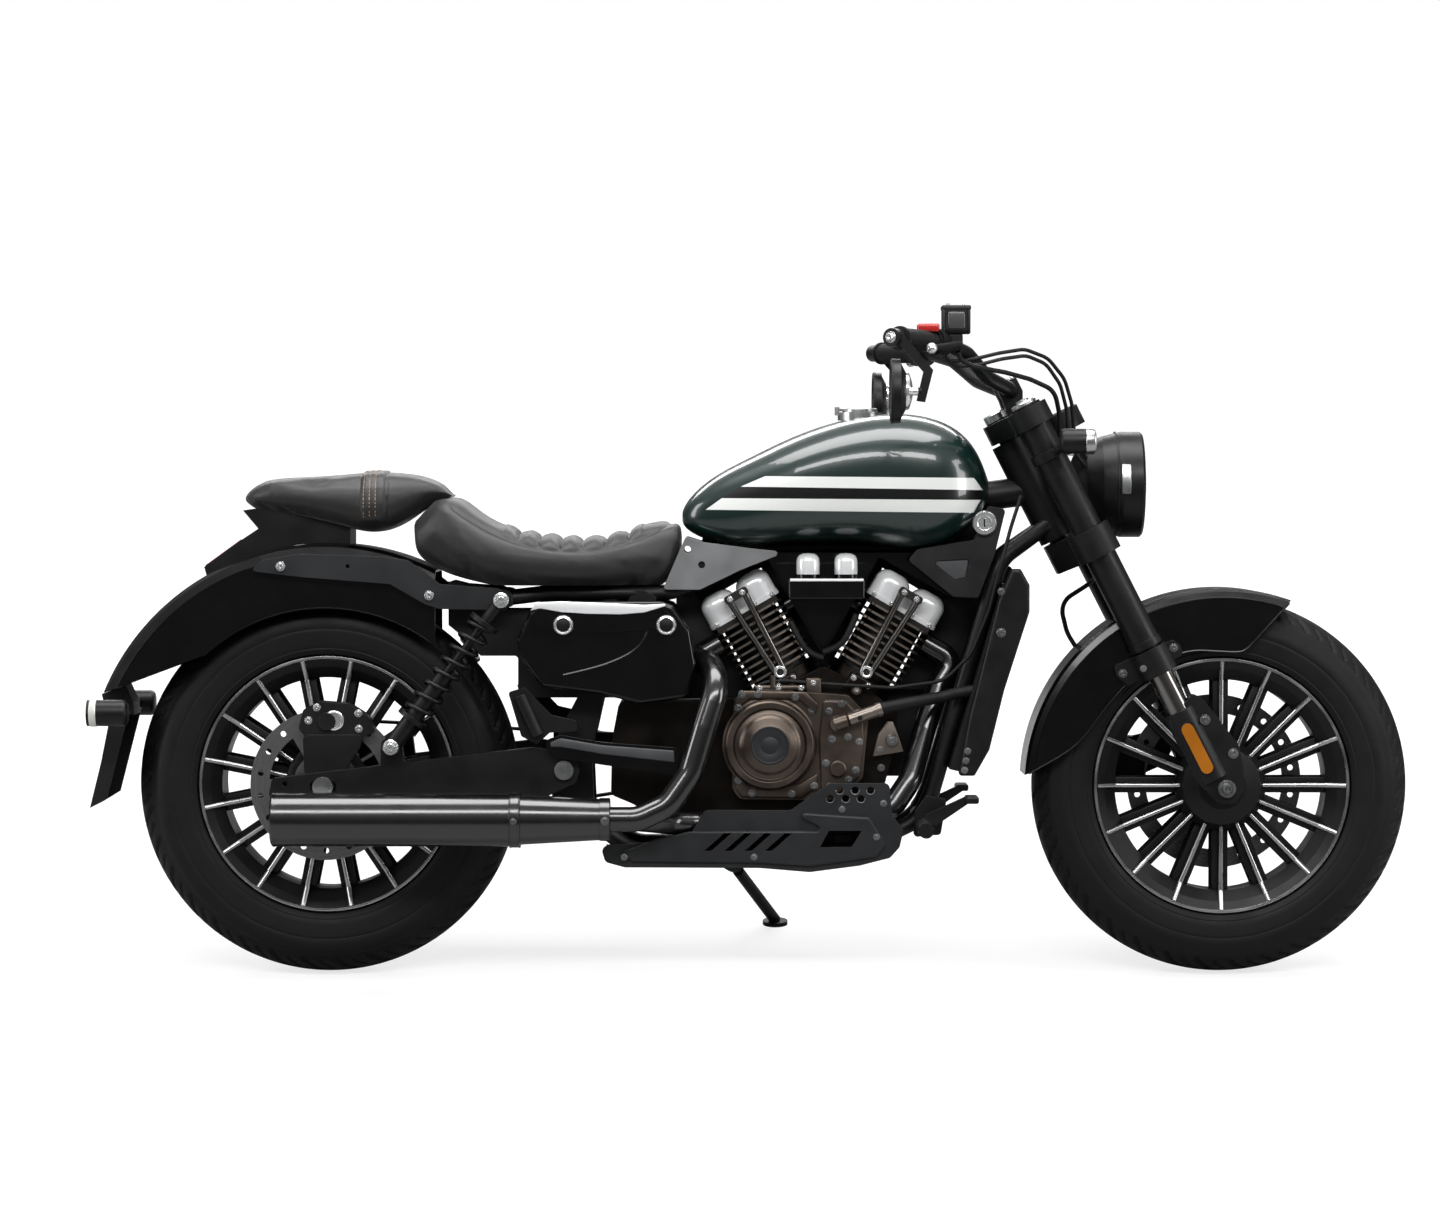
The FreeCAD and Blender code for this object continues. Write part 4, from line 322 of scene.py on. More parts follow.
def rough_and_bump(tree, shader, coords, grain_mm, smooth, rough, bump_mm, edge_mm=0.0):
    """Let roughness wander between two values over a fine grain; returns the blotches' factor."""
    grain = add_node(tree, "ShaderNodeTexNoise", {"Scale": 1 / (grain_mm * MM), "Detail": 4.0},
                     {"Vector": coords})
    blotch = add_node(tree, "ShaderNodeTexNoise", {"Scale": BLOTCH_SCALE, "Detail": 3.0}, {"Vector": coords})
    spread = add_node(tree, "ShaderNodeMapRange",
                      {"From Min": 0.3, "From Max": 0.7, "To Min": smooth, "To Max": rough},
                      {"Value": blotch.outputs["Fac"]})
    tree.links.new(spread.outputs["Result"], shader.inputs["Roughness"])
    bump = add_node(tree, "ShaderNodeBump", {"Distance": bump_mm * MM, "Strength": 1.0},
                    {"Height": grain.outputs["Fac"]})
    if edge_mm:
        soft = add_node(tree, "ShaderNodeBevel", {"Radius": edge_mm * MM}, samples=4)
        tree.links.new(soft.outputs["Normal"], bump.inputs["Normal"])
    tree.links.new(bump.outputs["Normal"], shader.inputs["Normal"])
    return blotch.outputs["Fac"]


def mottle(tree, shader, factor, dark, light):
    """Let the base colour wander between two hex colours."""
    mix = add_node(tree, "ShaderNodeMix", {6: colour(dark), 7: colour(light)}, {0: factor}, data_type="RGBA")
    tree.links.new(mix.outputs[2], shader.inputs["Base Color"])


def uneven_finish(name, dark, light, smooth, rough, grain_mm, bump_mm, edge_mm=0.0, **values):
    """A finish that wanders between two colours and two roughnesses, over a grain of the given size."""
    material, tree, shader, coords = start_material(name, **values)
    blotch = rough_and_bump(tree, shader, coords, grain_mm, smooth, rough, bump_mm, edge_mm)
    mottle(tree, shader, blotch, dark, light)
    return material


# %% [markdown]
# Black paint comes in three finishes here. The bodywork is injection-moulded plastic under glossy lacquer.
# The frame and swinging arm are steel with a baked powder coat. The lamp shell, bars and fork are satin
# lacquer. One black for all would be simpler, but these differ in how wide a lamp's reflection spreads on
# them, and that is how the eye tells a fender from a frame tube.

# %% Black and grey paints
# Sprayed gloss lacquer on moulded ABS: a clear, narrow reflection with a little orange peel every 5 mm.
GLOSS_BLACK = uneven_finish("gloss_black_lacquer", "#050506", "#08080a", 0.16, 0.24, 5.0, 0.004, 1.2,
                            IOR=1.48, Specular_IOR_Level=0.3, Coat_Weight=0.2, Coat_Roughness=0.05)
# Satin lacquer on steel and alloy: a soft sheen along tubes, with no sharp reflection.
SATIN_BLACK = uneven_finish("satin_black_lacquer", "#08080a", "#0e0e10", 0.34, 0.46, 0.9, 0.01, 1.0,
                            IOR=1.48, Specular_IOR_Level=0.3)
# Powder coat, sprayed dry and baked: duller, with a skin that ripples every 1.6 mm.
POWDER_BLACK = uneven_finish("black_powder_coat", "#070708", "#0d0d0e", 0.38, 0.52, 1.6, 0.03, 1.5,
                             IOR=1.5, Specular_IOR_Level=0.28)
# Bare moulded ABS: a fine spark-eroded grain of half a millimetre that scatters nearly all light.
MOULDED_BLACK = uneven_finish("black_moulded_abs", "#080809", "#0f0f10", 0.5, 0.65, 0.5, 0.03, 0.8,
                              IOR=1.5, Specular_IOR_Level=0.28)
# Grey satin paint over sand castings: the pan and struts look slightly lighter than the black round them.
CAST_GREY = uneven_finish("grey_satin_cast_paint", "#17181a", "#222325", 0.4, 0.52, 1.2, 0.03, 1.5,
                          IOR=1.5, Specular_IOR_Level=0.35)
PALE_CAST = uneven_finish("pale_grey_cast_paint", "#3a3b3d", "#4a4b4d", 0.4, 0.52, 1.2, 0.03, 1.5,
                          IOR=1.5, Specular_IOR_Level=0.35)
# High-temperature black on steel pipe: deep and smooth, so the silencer shows long bright streaks.
PIPE_BLACK = uneven_finish("heat_proof_black", "#09090a", "#0f0f11", 0.15, 0.21, 2.5, 0.006, 1.0,
                           IOR=1.5, Specular_IOR_Level=0.9)
print("paints", len(bpy.data.materials))

# %% [markdown]
# Metals. Chrome is a mirror with a hint of waviness, plus a share of white diffuse that is a painted reflection
# of the white studio. The engine cases are die-cast aluminium under a bronze tinted paint with metal flakes, and
# the barrels are cast and painted darker. Bolts are zinc plated, and the
# ridges on the wheels are bare aluminium. All metals keep the default IOR. Only metallic, colour and
# roughness tell them apart.

# %% Plated and cast metals
def chrome_with_painted_white(name, metallic, smooth, rough):
    """Chrome plate with a share of white diffuse, a painted reflection of the white studio that keeps it bright.
    """
    material, tree, shader, coords = start_material(name, Base_Color=colour("#f0f1f2"), Metallic=metallic)
    rough_and_bump(tree, shader, coords, 14.0, smooth, rough, 0.01, 0.8)
    return material


# Polished chrome on small parts: a mirror with a fifth of white diffuse, which is partly a painted reflection,
# and sharp dark edges where it mirrors the machine.
CHROME = chrome_with_painted_white("polished_chrome_painted_reflection", 0.8, 0.06, 0.12)
# Plated cover over the valve gear: mostly white diffuse, a painted reflection of the white studio, with soft
# reflections.
PAINTED_WHITE_COVER = chrome_with_painted_white("plated_cover_painted_reflection", 0.2, 0.16, 0.24)
# Zinc plate on bolts: a grey metal with a dull shine.
ZINC = uneven_finish("zinc_plated_steel", "#8d8e90", "#b9babb", 0.22, 0.36, 0.6, 0.01, 0.3, Metallic=1.0)
# Darker chromed tube: the pushrod tubes and the fork's sliding tubes.
DARK_CHROME = uneven_finish("dark_chromed_tube", "#6f6d6b", "#85827f", 0.1, 0.18, 0.6, 0.01, 0.3, Metallic=1.0)
# Satin anodised aluminium: pale and even, without a mirror image.
SILVER = uneven_finish("satin_anodised_aluminium", "#a9aaab", "#cfd0d0", 0.22, 0.36, 0.6, 0.01, 0.3, Metallic=1.0)
# Aluminium left bare by the cutter: fine tool marks every third of a millimetre.
MACHINED = uneven_finish("machined_aluminium", "#9a9a9b", "#c4c4c4", 0.2, 0.34, 0.35, 0.01, Metallic=1.0)
# Bronze tinted paint on die castings, and its darker shade on the case behind them.
BRONZE = uneven_finish("bronze_painted_casting", "#4a423c", "#655b54", 0.32, 0.46, 0.9, 0.04, 1.5, Metallic=1.0)
DARK_CASE = uneven_finish("dark_painted_casting", "#201d1b", "#2c2825", 0.32, 0.46, 0.9, 0.04, 1.5, Metallic=1.0)
# Painted barrels, and their fins' outer edges skimmed after painting: a warm grey with tool marks.
FINS = uneven_finish("dark_painted_fins", "#1d1a18", "#2b2724", 0.4, 0.52, 1.0, 0.05, 0.8, Metallic=0.4)
SKIMMED = uneven_finish("skimmed_fin_alloy", "#6f665f", "#8d837b", 0.3, 0.42, 0.5, 0.02, Metallic=0.9)
print("with metals", len(bpy.data.materials))

# %% [markdown]
# A brake disc is ground flat while it turns, so its scratches are rings round the axle and its reflection is
# drawn out across them. A noise that runs on the distance from the axle gives those rings. An image of
# scratches would do too, but it would need a seam and a file.

# %% Ground disc steel
def ground_steel(name, centre):
    """Rings of fine grinding lines round the axle, drawn about 1 mm apart so that they show."""
    material, tree, shader, coords = start_material(name, Metallic=1.0)
    turn = add_node(tree, "ShaderNodeMapping",
                    {"Location": LEAN @ (Vector(centre) * MM), "Rotation": (lean, 0, 0)}, {"Vector": coords},
                    vector_type="TEXTURE")
    flat = add_node(tree, "ShaderNodeVectorMath", {1: (1, 0, 1)}, {0: turn.outputs[0]}, operation="MULTIPLY")
    radius = add_node(tree, "ShaderNodeVectorMath", None, {0: flat.outputs[0]}, operation="LENGTH")
    lines = add_node(tree, "ShaderNodeTexNoise", {"Scale": 1 / MM, "Detail": 3.0},
                     {"W": radius.outputs["Value"]}, noise_dimensions="1D").outputs["Fac"]
    spread = add_node(tree, "ShaderNodeMapRange",
                      {"From Min": 0.3, "From Max": 0.7, "To Min": 0.22, "To Max": 0.42}, {"Value": lines})
    tree.links.new(spread.outputs["Result"], shader.inputs["Roughness"])
    bump = add_node(tree, "ShaderNodeBump", {"Distance": 0.02 * MM}, {"Height": lines})
    tree.links.new(bump.outputs["Normal"], shader.inputs["Normal"])
    mottle(tree, shader, lines, "#6f6f70", "#a3a3a4")
    return material


REAR_DISC = ground_steel("ground_disc_steel_rear", (0, 0, REAR_R))
FRONT_DISC = ground_steel("ground_disc_steel_front", (WHEELBASE, 0, FRONT_R))
print("disc steel", REAR_DISC.name, FRONT_DISC.name)

# %% [markdown]
# Rubber and plastics. Tyre rubber is moulded and matt. Grips and hoses are a finer rubber. Lamp lenses are
# clear or tinted acrylic, and the red switch is glossy ABS. Tinted lenses could be glass with colour inside,
# but they have a reflector close behind them, so an opaque colour under a clear coat looks the same.

# %% Rubber, glass and small plastics
def tinted_plastic(name, dark, light, grain_mm=2.0):
    """Coloured plastic under a glossy skin, as on lenses and switches."""
    return uneven_finish(name, dark, light, 0.16, 0.26, grain_mm, 0.05, IOR=1.49, Coat_Weight=0.5,
                         Coat_Roughness=0.05)


def clear_acrylic():
    """Moulded clear acrylic: almost all light goes through, with small bright reflections."""
    material, tree, shader, coords = start_material(
        "clear_acrylic", Base_Color=colour("#f2f4f5"), IOR=1.49, Transmission_Weight=0.9)
    rough_and_bump(tree, shader, coords, 3.0, 0.04, 0.1, 0.01)
    return material


# Vulcanised tyre rubber: a dull black that never mirrors anything.
TYRE = uneven_finish("tyre_rubber", "#080808", "#101010", 0.5, 0.66, 0.8, 0.04, IOR=1.5, Specular_IOR_Level=0.22)
# Moulded hose and grip rubber: as dark, a little smoother.
RUBBER = uneven_finish("black_hose_rubber", "#080809", "#0f0f10", 0.48, 0.6, 0.7, 0.02, IOR=1.5,
                       Specular_IOR_Level=0.28)
CLEAR = clear_acrylic()
AMBER = tinted_plastic("amber_acrylic_reflector", "#8f5208", "#b36c14")
RED = tinted_plastic("red_abs_switch", "#9c1c1c", "#c32a28")
LENS_WHITE = tinted_plastic("milky_indicator_lens", "#b9b8b2", "#dddcd6")
GREY_WINDOW = tinted_plastic("grey_sight_window", "#3c3d3e", "#4a4b4c")
TAIL_RED = tinted_plastic("red_tail_lens", "#5e0c0d", "#7c1212")
print("with rubber and plastics", len(bpy.data.materials))

# %% [markdown]
# Each node that comes from the construction keeps its shape and gets a finish here. One material slot for
# each object would do in the editor. A list is easier to check, and it reads like a build sheet: which
# finish, then the pieces that have it.

# %% Dress the construction's own pieces
FINISHES = [
    (TYRE, ["front_tyre", "rear_tyre"]),
    (SATIN_BLACK, ["front_rim", "rear_rim", "headlamp", "handlebar", "fork_tubes", "tail_trim",
                   "frame_covers", "radiator_shrouds", "instrument", "mirrors", "front_indicators",
                   "rear_indicators", "shocks"]),
    (FRONT_DISC, ["front_brake_disc"]),
    (REAR_DISC, ["rear_brake_disc"]),
    (POWDER_BLACK, ["rear_pulley", "main_frame", "swingarm", "side_stand", "lower_clamp", "upper_clamp",
                    "fork_feet", "passenger_pegs", "foot_controls", "rear_caliper", "front_caliper"]),
    (ZINC, ["pivot_shaft", "rear_axle", "front_axle", "front_pulley"]),
    (RUBBER, ["drive_belt", "grips", "clutch_cable", "control_cables"]),
    (GLOSS_BLACK, ["rear_fender", "front_fender", "side_covers", "intake", "fuel_tank", "rider_seat",
                   "pillion_seat"]),
    (CAST_GREY, ["fender_struts", "belly_pan"]),
    (MOULDED_BLACK, ["plate_holder", "radiator", "hand_controls", "battery_box"]),
    (SILVER, ["filler_neck", "filler_lid"]),
    (BRONZE, ["clutch_cover", "left_covers"]),
    (DARK_CASE, ["crankcase"]),
    (FINS, ["cylinders"]),
    # The rocker covers' white is a painted reflection of the studio, in white diffuse.
    (PAINTED_WHITE_COVER, ["rocker_covers"]),
    (DARK_CHROME, ["pushrods"]),
    (PIPE_BLACK, ["exhaust_headers", "muffler"]),
    (CLEAR, ["headlamp_lens"]),
]


def give(node, material):
    """Put one finish on a node of the construction."""
    nodes[node].data.materials.clear()
    nodes[node].data.materials.append(material)


for finish, names in FINISHES:
    for name in names:
        give(name, finish)
print("dressed", sum(len(names) for finish, names in FINISHES), "of", len(nodes), "nodes")

# %% [markdown]
# The machine is seen square to its right side, from about 7.5 m with a long lens and a little above the
# hubs. A camera could be aimed by eye. Here its lens and pitch follow from the scale of the picture in
# millimetres a pixel and from the height of its horizon. It is set in the upright machine's own frame and
# leaned over with it, so it looks at the parked machine along the same line.

# %% Camera
CAMERA_AWAY = 7500.0
MM_PER_PIXEL = 1.71
PHOTO_WIDTH = 1440
PHOTO_MIDDLE_ROW = 613.0
HORIZON_ROW = 490.0
AIM_X = 667.0
AIM_Z = 822.5

SENSOR = 36.0

camera_data = bpy.data.cameras.new("photo_camera")
camera_data.sensor_width = SENSOR
camera_data.lens = SENSOR * CAMERA_AWAY / (PHOTO_WIDTH * MM_PER_PIXEL)
camera = bpy.data.objects.new("photo_camera", camera_data)
bpy.context.scene.collection.objects.link(camera)
pitch = math.atan((PHOTO_MIDDLE_ROW - HORIZON_ROW) * MM_PER_PIXEL / CAMERA_AWAY)
camera.matrix_world = (
    LEAN
    @ Matrix.Translation(Vector((AIM_X, -CAMERA_AWAY, AIM_Z)) * MM)
    @ Matrix.Rotation(math.radians(90) - pitch, 4, "X")
)
bpy.context.scene.camera = camera
print("lens", round(camera_data.lens, 1), "mm, pitch", round(math.degrees(pitch), 2))

# %% [markdown]
# A studio for a dark machine: one broad soft box overhead, a long low strip on the camera's side that draws
# the highlights along the flanks, and softer ones in front, behind and beyond it that pick out the edges.
# Area lamps are used because their shape is what a glossy tank mirrors.

# %% Lamps
def soft_box(name, place, target, size, power):
    """A rectangular area lamp that faces its target."""
    data = bpy.data.lights.new(name, "AREA")
    data.shape = "RECTANGLE"
    data.size, data.size_y = size
    data.energy = power
    lamp = bpy.data.objects.new(name, data)
    bpy.context.scene.collection.objects.link(lamp)
    lamp.location = place
    lamp.rotation_euler = (Vector(target) - Vector(place)).to_track_quat("-Z", "Y").to_euler()


middle = (0.0, 0.0, 0.5)
soft_box("overhead_box", (0.0, 0.1, 3.4), middle, (3.6, 1.6), 135)
soft_box("side_strip", (0.1, -2.7, 3.0), (0, 0, 0.45), (4.4, 0.6), 95)
soft_box("front_box", (3.6, -1.2, 1.5), middle, (1.0, 2.0), 45)
soft_box("rear_box", (-3.6, -1.0, 1.5), middle, (1.0, 2.0), 45)
soft_box("far_strip", (0.0, 3.4, 2.0), middle, (4.0, 0.8), 60)

# %% [markdown]
# The backdrop is the world itself. The camera and light that has passed through glass see plain white.
# Reflections see a ceiling that fades towards the horizon, and everything else gets a faint fill, so the
# white of the picture adds no light to the machine.

# %% Backdrop
FILL = 0.12
world = bpy.data.worlds.new("studio")
bpy.context.scene.world = world
world.use_nodes = True
tree = world.node_tree
tree.nodes.clear()
ray = add_node(tree, "ShaderNodeLightPath")
view_way = add_node(tree, "ShaderNodeTexCoord").outputs["Generated"]
way = add_node(tree, "ShaderNodeSeparateXYZ", None, {0: view_way})
ceiling = add_node(tree, "ShaderNodeMapRange",
                   {"From Min": 0.12, "From Max": 0.75, "To Min": 0.07, "To Max": 0.6},
                   {"Value": way.outputs["Z"]})
seen = add_node(tree, "ShaderNodeMath", None,
                {0: ray.outputs["Is Glossy Ray"], 1: ceiling.outputs["Result"]}, operation="MULTIPLY")
clear = add_node(tree, "ShaderNodeMath", None,
                 {0: ray.outputs["Is Camera Ray"], 1: ray.outputs["Is Transmission Ray"]}, operation="MAXIMUM")
level = add_node(tree, "ShaderNodeMath", None, {0: seen.outputs[0], 1: clear.outputs[0]}, operation="MAXIMUM")
ambient = add_node(tree, "ShaderNodeMath", {1: FILL}, {0: level.outputs[0]}, operation="MAXIMUM")
sky = add_node(tree, "ShaderNodeBackground", {"Color": (1, 1, 1, 1)}, {"Strength": ambient.outputs[0]})
add_node(tree, "ShaderNodeOutputWorld", None, {"Surface": sky.outputs[0]})
print("world nodes", len(tree.nodes))

# %% [markdown]
# The floor is a wide disc of pale matt paint. It keeps the machine's shadow, and it glows a little, for the
# camera alone, so that it meets the white backdrop without an edge. The glow grows from the middle outwards,
# because a shadow has to be seen near the tyres and nowhere else.

# %% Floor
FLOOR_RADIUS = 14.0
material = bpy.data.materials.new("white_studio_floor")
material.use_nodes = True
tree = material.node_tree
tree.nodes.clear()
ray = add_node(tree, "ShaderNodeLightPath")
paint = add_node(tree, "ShaderNodeBsdfDiffuse", {"Color": (0.35, 0.35, 0.35, 1)})
spot = add_node(tree, "ShaderNodeTexCoord")
away = add_node(tree, "ShaderNodeVectorMath", None, {0: spot.outputs["Object"]}, operation="LENGTH")
white = add_node(tree, "ShaderNodeMapRange",
                 {"From Min": 1.3, "From Max": 4.0, "To Min": 0.74, "To Max": 1.0},
                 {"Value": away.outputs["Value"]})
glow = add_node(tree, "ShaderNodeMath", None, {0: ray.outputs["Is Camera Ray"], 1: white.outputs["Result"]},
                operation="MULTIPLY")
light = add_node(tree, "ShaderNodeEmission", None, {"Strength": glow.outputs[0]})
both = add_node(tree, "ShaderNodeAddShader", None, {0: paint.outputs[0], 1: light.outputs[0]})
add_node(tree, "ShaderNodeOutputMaterial", None, {"Surface": both.outputs[0]})
bm = bmesh.new()
bmesh.ops.create_circle(bm, cap_ends=True, segments=96, radius=FLOOR_RADIUS)
floor_mesh = bpy.data.meshes.new("studio_floor")
bm.to_mesh(floor_mesh)
bm.free()
floor = bpy.data.objects.new("studio_floor", floor_mesh)
floor.data.materials.append(material)
bpy.context.scene.collection.objects.link(floor)
print("floor", len(floor.data.vertices), "corners")

# %% [markdown]
# Both seats are moulded foam under a tight cover of black synthetic leather. A first thought is to model
# the cover by hand, but foam that presses a cover outwards is just what a cloth simulation with pressure
# does: a copy of the plain seat is shrunk a little, remeshed evenly and blown up until the cover is taut.
# Seams, channels and the strap are pressed into the finished cover afterwards, because the remesh erases them.

# %% Leather
def black_leather():
    """Synthetic leather: pebbled grain with cells of about 1.6 mm, satin where it is stretched."""
    material, tree, shader, coords = start_material("black_seat_leather", IOR=1.5, Sheen_Weight=0.15,
                                                    Sheen_Roughness=0.4)
    cells = add_node(tree, "ShaderNodeTexVoronoi", {"Scale": 1 / (1.6 * MM)}, {"Vector": coords},
                     feature="DISTANCE_TO_EDGE")
    pebble = add_node(tree, "ShaderNodeMapRange", {"From Max": 0.25}, {"Value": cells.outputs["Distance"]})
    blotch = rough_and_bump(tree, shader, coords, 6.0, 0.4, 0.52, 0.25)
    grain = add_node(tree, "ShaderNodeBump", {"Distance": 0.12 * MM, "Strength": 0.8},
                     {"Height": pebble.outputs["Result"], "Normal": shader.inputs["Normal"].links[0].from_socket})
    tree.links.new(grain.outputs["Normal"], shader.inputs["Normal"])
    mottle(tree, shader, blotch, "#100f0f", "#191818")
    return material


LEATHER = black_leather()
THREAD = tinted_plastic("tan_nylon_thread", "#8a6a45", "#a98459", 0.8)
print("seat materials", LEATHER.name, THREAD.name)

# %% [markdown]
# A cover starts as the seat's own node, shrunk by a few millimetres and remeshed into even squares of 6 mm,
# because cloth only stretches evenly on an even mesh. Pressure then pushes it out for fifteen frames.

# %% Blowing up a cover
def foam_shape(node, shrink_mm, voxel_mm):
    """An even mesh of a seat's node, a little smaller all round, as a new object in the frame."""
    bm = bmesh.new()
    bm.from_mesh(nodes[node].data)
    bmesh.ops.remove_doubles(bm, verts=bm.verts, dist=0.0001)
    mesh = bpy.data.meshes.new(node + "_foam")
    bm.to_mesh(mesh)
    bm.free()
    foam = bpy.data.objects.new(node + "_foam", mesh)
    bpy.context.scene.collection.objects.link(foam)
    remesh = foam.modifiers.new("even", "REMESH")
    remesh.mode = "VOXEL"
    remesh.voxel_size = voxel_mm * MM
    even = bpy.data.meshes.new_from_object(foam.evaluated_get(bpy.context.evaluated_depsgraph_get()))
    foam.modifiers.clear()
    foam.data = even
    for vert in even.vertices:
        vert.co -= vert.normal * shrink_mm * MM
    return foam


def blow_up(foam, cap_mm, pressure=4.0, last_frame=15):
    """Let pressure stretch the cover; no point moves further than the cap."""
    start = [vert.co.copy() for vert in foam.data.vertices]
    cloth = foam.modifiers.new("pressure", "CLOTH")
    cloth.settings.use_pressure = True
    cloth.settings.uniform_pressure_force = pressure
    cloth.settings.effector_weights.gravity = 0.0
    cloth.settings.tension_stiffness = 12.0
    for number in range(1, last_frame + 1):
        bpy.context.scene.frame_set(number)
    shaped = foam.evaluated_get(bpy.context.evaluated_depsgraph_get()).to_mesh()
    for vert, old, new in zip(foam.data.vertices, start, shaped.vertices):
        move = new.co - old
        vert.co = old + move * min(1.0, cap_mm * MM / max(move.length, 1e-9))
    foam.modifiers.clear()
    bpy.context.scene.frame_set(1)


def cover_bmesh(foam):
    """The cover as an upright bmesh in millimetres, with one subdivision, ready for seams."""
    bm = bmesh.new()
    bm.from_mesh(foam.data)
    bpy.data.objects.remove(foam)
    bmesh.ops.transform(bm, matrix=Matrix.Scale(1 / MM, 4) @ UPRIGHT, verts=bm.verts)
    for pass_number in range(2):
        bmesh.ops.smooth_vert(bm, verts=bm.verts, factor=0.5, use_axis_x=True, use_axis_y=True,
                              use_axis_z=True)
    bmesh.ops.subdivide_edges(bm, edges=bm.edges, cuts=1, use_grid_fill=True, smooth=1.0)
    bm.normal_update()
    return bm


def groove(distance, width, depth):
    """How far a seam pulls the cover in, at a distance from its line."""
    return -depth * math.exp(-(distance / width) ** 2)


# %% [markdown]
# The rider's seat has a saddle-shaped middle panel, sewn across in channels 36 mm apart that puff up between
# the stitch lines, and plain sides. The line between them runs from the seat's nose, low along each flank
# and up to the pillion. Each point of the cover is moved along its own normal by the seams it lies near.

# %% Rider's seat
CHANNELS = [328.0, 363.0, 399.0, 434.0, 473.0, 511.0]
SEAT_BASE_Z = 661.5


def side_seam(x):
    """Height of the seam between the middle panel and the sides."""
    return 719.0 + 30.0 * ((x - 420.0) / 130.0) ** 2


def press_seams(bm):
    """Pull the cover in along its side seams and sewn channels, and puff it up between them."""
    for vert in bm.verts:
        x, z = vert.co.x, vert.co.z
        seam = side_seam(x)
        move = 0.0
        if 215 < x < 590 and z > 690:
            move += groove(z - seam, 3.2, 2.6)
        if z > seam and CHANNELS[0] - 25 < x < CHANNELS[-1] + 25:
            near = min(abs(x - line) for line in CHANNELS)
            fade = min(1.0, (z - seam) / 12.0)
            move += fade * (groove(near, 3.0, 6.0) - 2.5 * math.cos(min(near / 18.0, 1.0) * math.pi))
        vert.co += vert.normal * move


foam = foam_shape("rider_seat", 2.5, 6.0)
blow_up(foam, 6.0)
bm = cover_bmesh(foam)
for vert in bm.verts:
    vert.co.z = max(vert.co.z, SEAT_BASE_Z)
press_seams(bm)
seat = piece_from("rider_seat_cover", bm, "chassis", LEATHER, ("rider_seat",), angle=60)

# %% [markdown]
# The pillion pad is a smooth wedge with a strap across it. The strap is a band of the same leather, raised
# 3 mm, with three rows of tan stitches. Its front end folds down into a sharp lip over the rider's seat.

# %% Pillion pad and its strap
STRAP = (64.0, 100.0)
STITCH_ROWS = [66.0, 76.0, 86.0]
PAD_FLANK_Z = 772.0


def press_strap(bm):
    """Raise the strap over the pad's top, with a groove at its edges and under each row of stitches."""
    for vert in bm.verts:
        x = vert.co.x
        if vert.co.z > PAD_FLANK_Z:
            inside = max(0.0, min(1.0, (x - STRAP[0] + 3) / 3, (STRAP[1] + 3 - x) / 3))
            move = 3.0 * inside + groove(x - STRAP[0] + 3, 2.0, 1.5) + groove(x - STRAP[1] - 3, 2.0, 2.5)
            move += sum(groove(x - row, 1.5, 0.9) for row in STITCH_ROWS)
            vert.co += vert.normal * move


foam = foam_shape("pillion_seat", 2.0, 6.0)
blow_up(foam, 5.0)
bm = cover_bmesh(foam)
press_strap(bm)
strap_cut = bm.copy()
pad = piece_from("pillion_pad", bm, "chassis", LEATHER, ("pillion_seat",), angle=60)

# %% [markdown]
# Each stitch is a short thread that lies on the strap. The pad is cut at a row's place to find the line that
# the thread follows, and a small round bar is laid on it every 5 mm, so the stitches sit on the real surface.

# %% Stitches
def stitch_row(bm, cover, x, pitch=5.0, thread=0.7):
    """Stitches along the cover's own section at x."""
    section = cover.copy()
    cut = bmesh.ops.bisect_plane(section, geom=section.verts[:] + section.edges[:] + section.faces[:],
                                 plane_co=(x, 0, 0), plane_no=(1, 0, 0), clear_inner=True, clear_outer=True)
    points = [item.co.copy() for item in cut["geom_cut"] if isinstance(item, bmesh.types.BMVert)]
    section.free()
    middle_z = sum(p.z for p in points) / len(points)
    points = sorted((p for p in points if p.z > PAD_FLANK_Z + 4),
                    key=lambda p: math.atan2(p.z - middle_z + 12, p.y))
    travelled = 0.0
    last = points[0]
    start = None
    for point in points[1:]:
        travelled += (point - last).length
        if start is None and travelled > pitch * 0.35:
            start = point
        elif start is not None and travelled > pitch:
            away = Vector((0, point.y, (point.z - middle_z) * 2)).normalized() * 0.35
            bar(bm, start + away, point + away, thread, steps=6)
            travelled = 0.0
            start = None
        last = point


bm = bmesh.new()
for row in STITCH_ROWS:
    stitch_row(bm, strap_cut, row)
strap_cut.free()
piece_from("strap_stitches", bm, "chassis", THREAD)

# %% [markdown]
# The tank is pressed steel in dark green lacquer under clear coat. Two white stripes run along each side
# with a black band between them, and their ends are cut at a slant. Paint like this is masked off with tape,
# so the material does the same: each patch is a convex outline in side view, and the lacquer changes where a
# point lies inside all of its edges. The patches read Object coordinates, turned upright first.

# %% Tank lacquer with its stripes
def upright_place(tree, coords):
    """Object coordinates turned back to the upright machine, in metres."""
    turned_back = add_node(tree, "ShaderNodeMapping", {"Location": LEAN.translation, "Rotation": (lean, 0, 0)},
                           {"Vector": coords}, vector_type="TEXTURE")
    return turned_back.outputs[0]


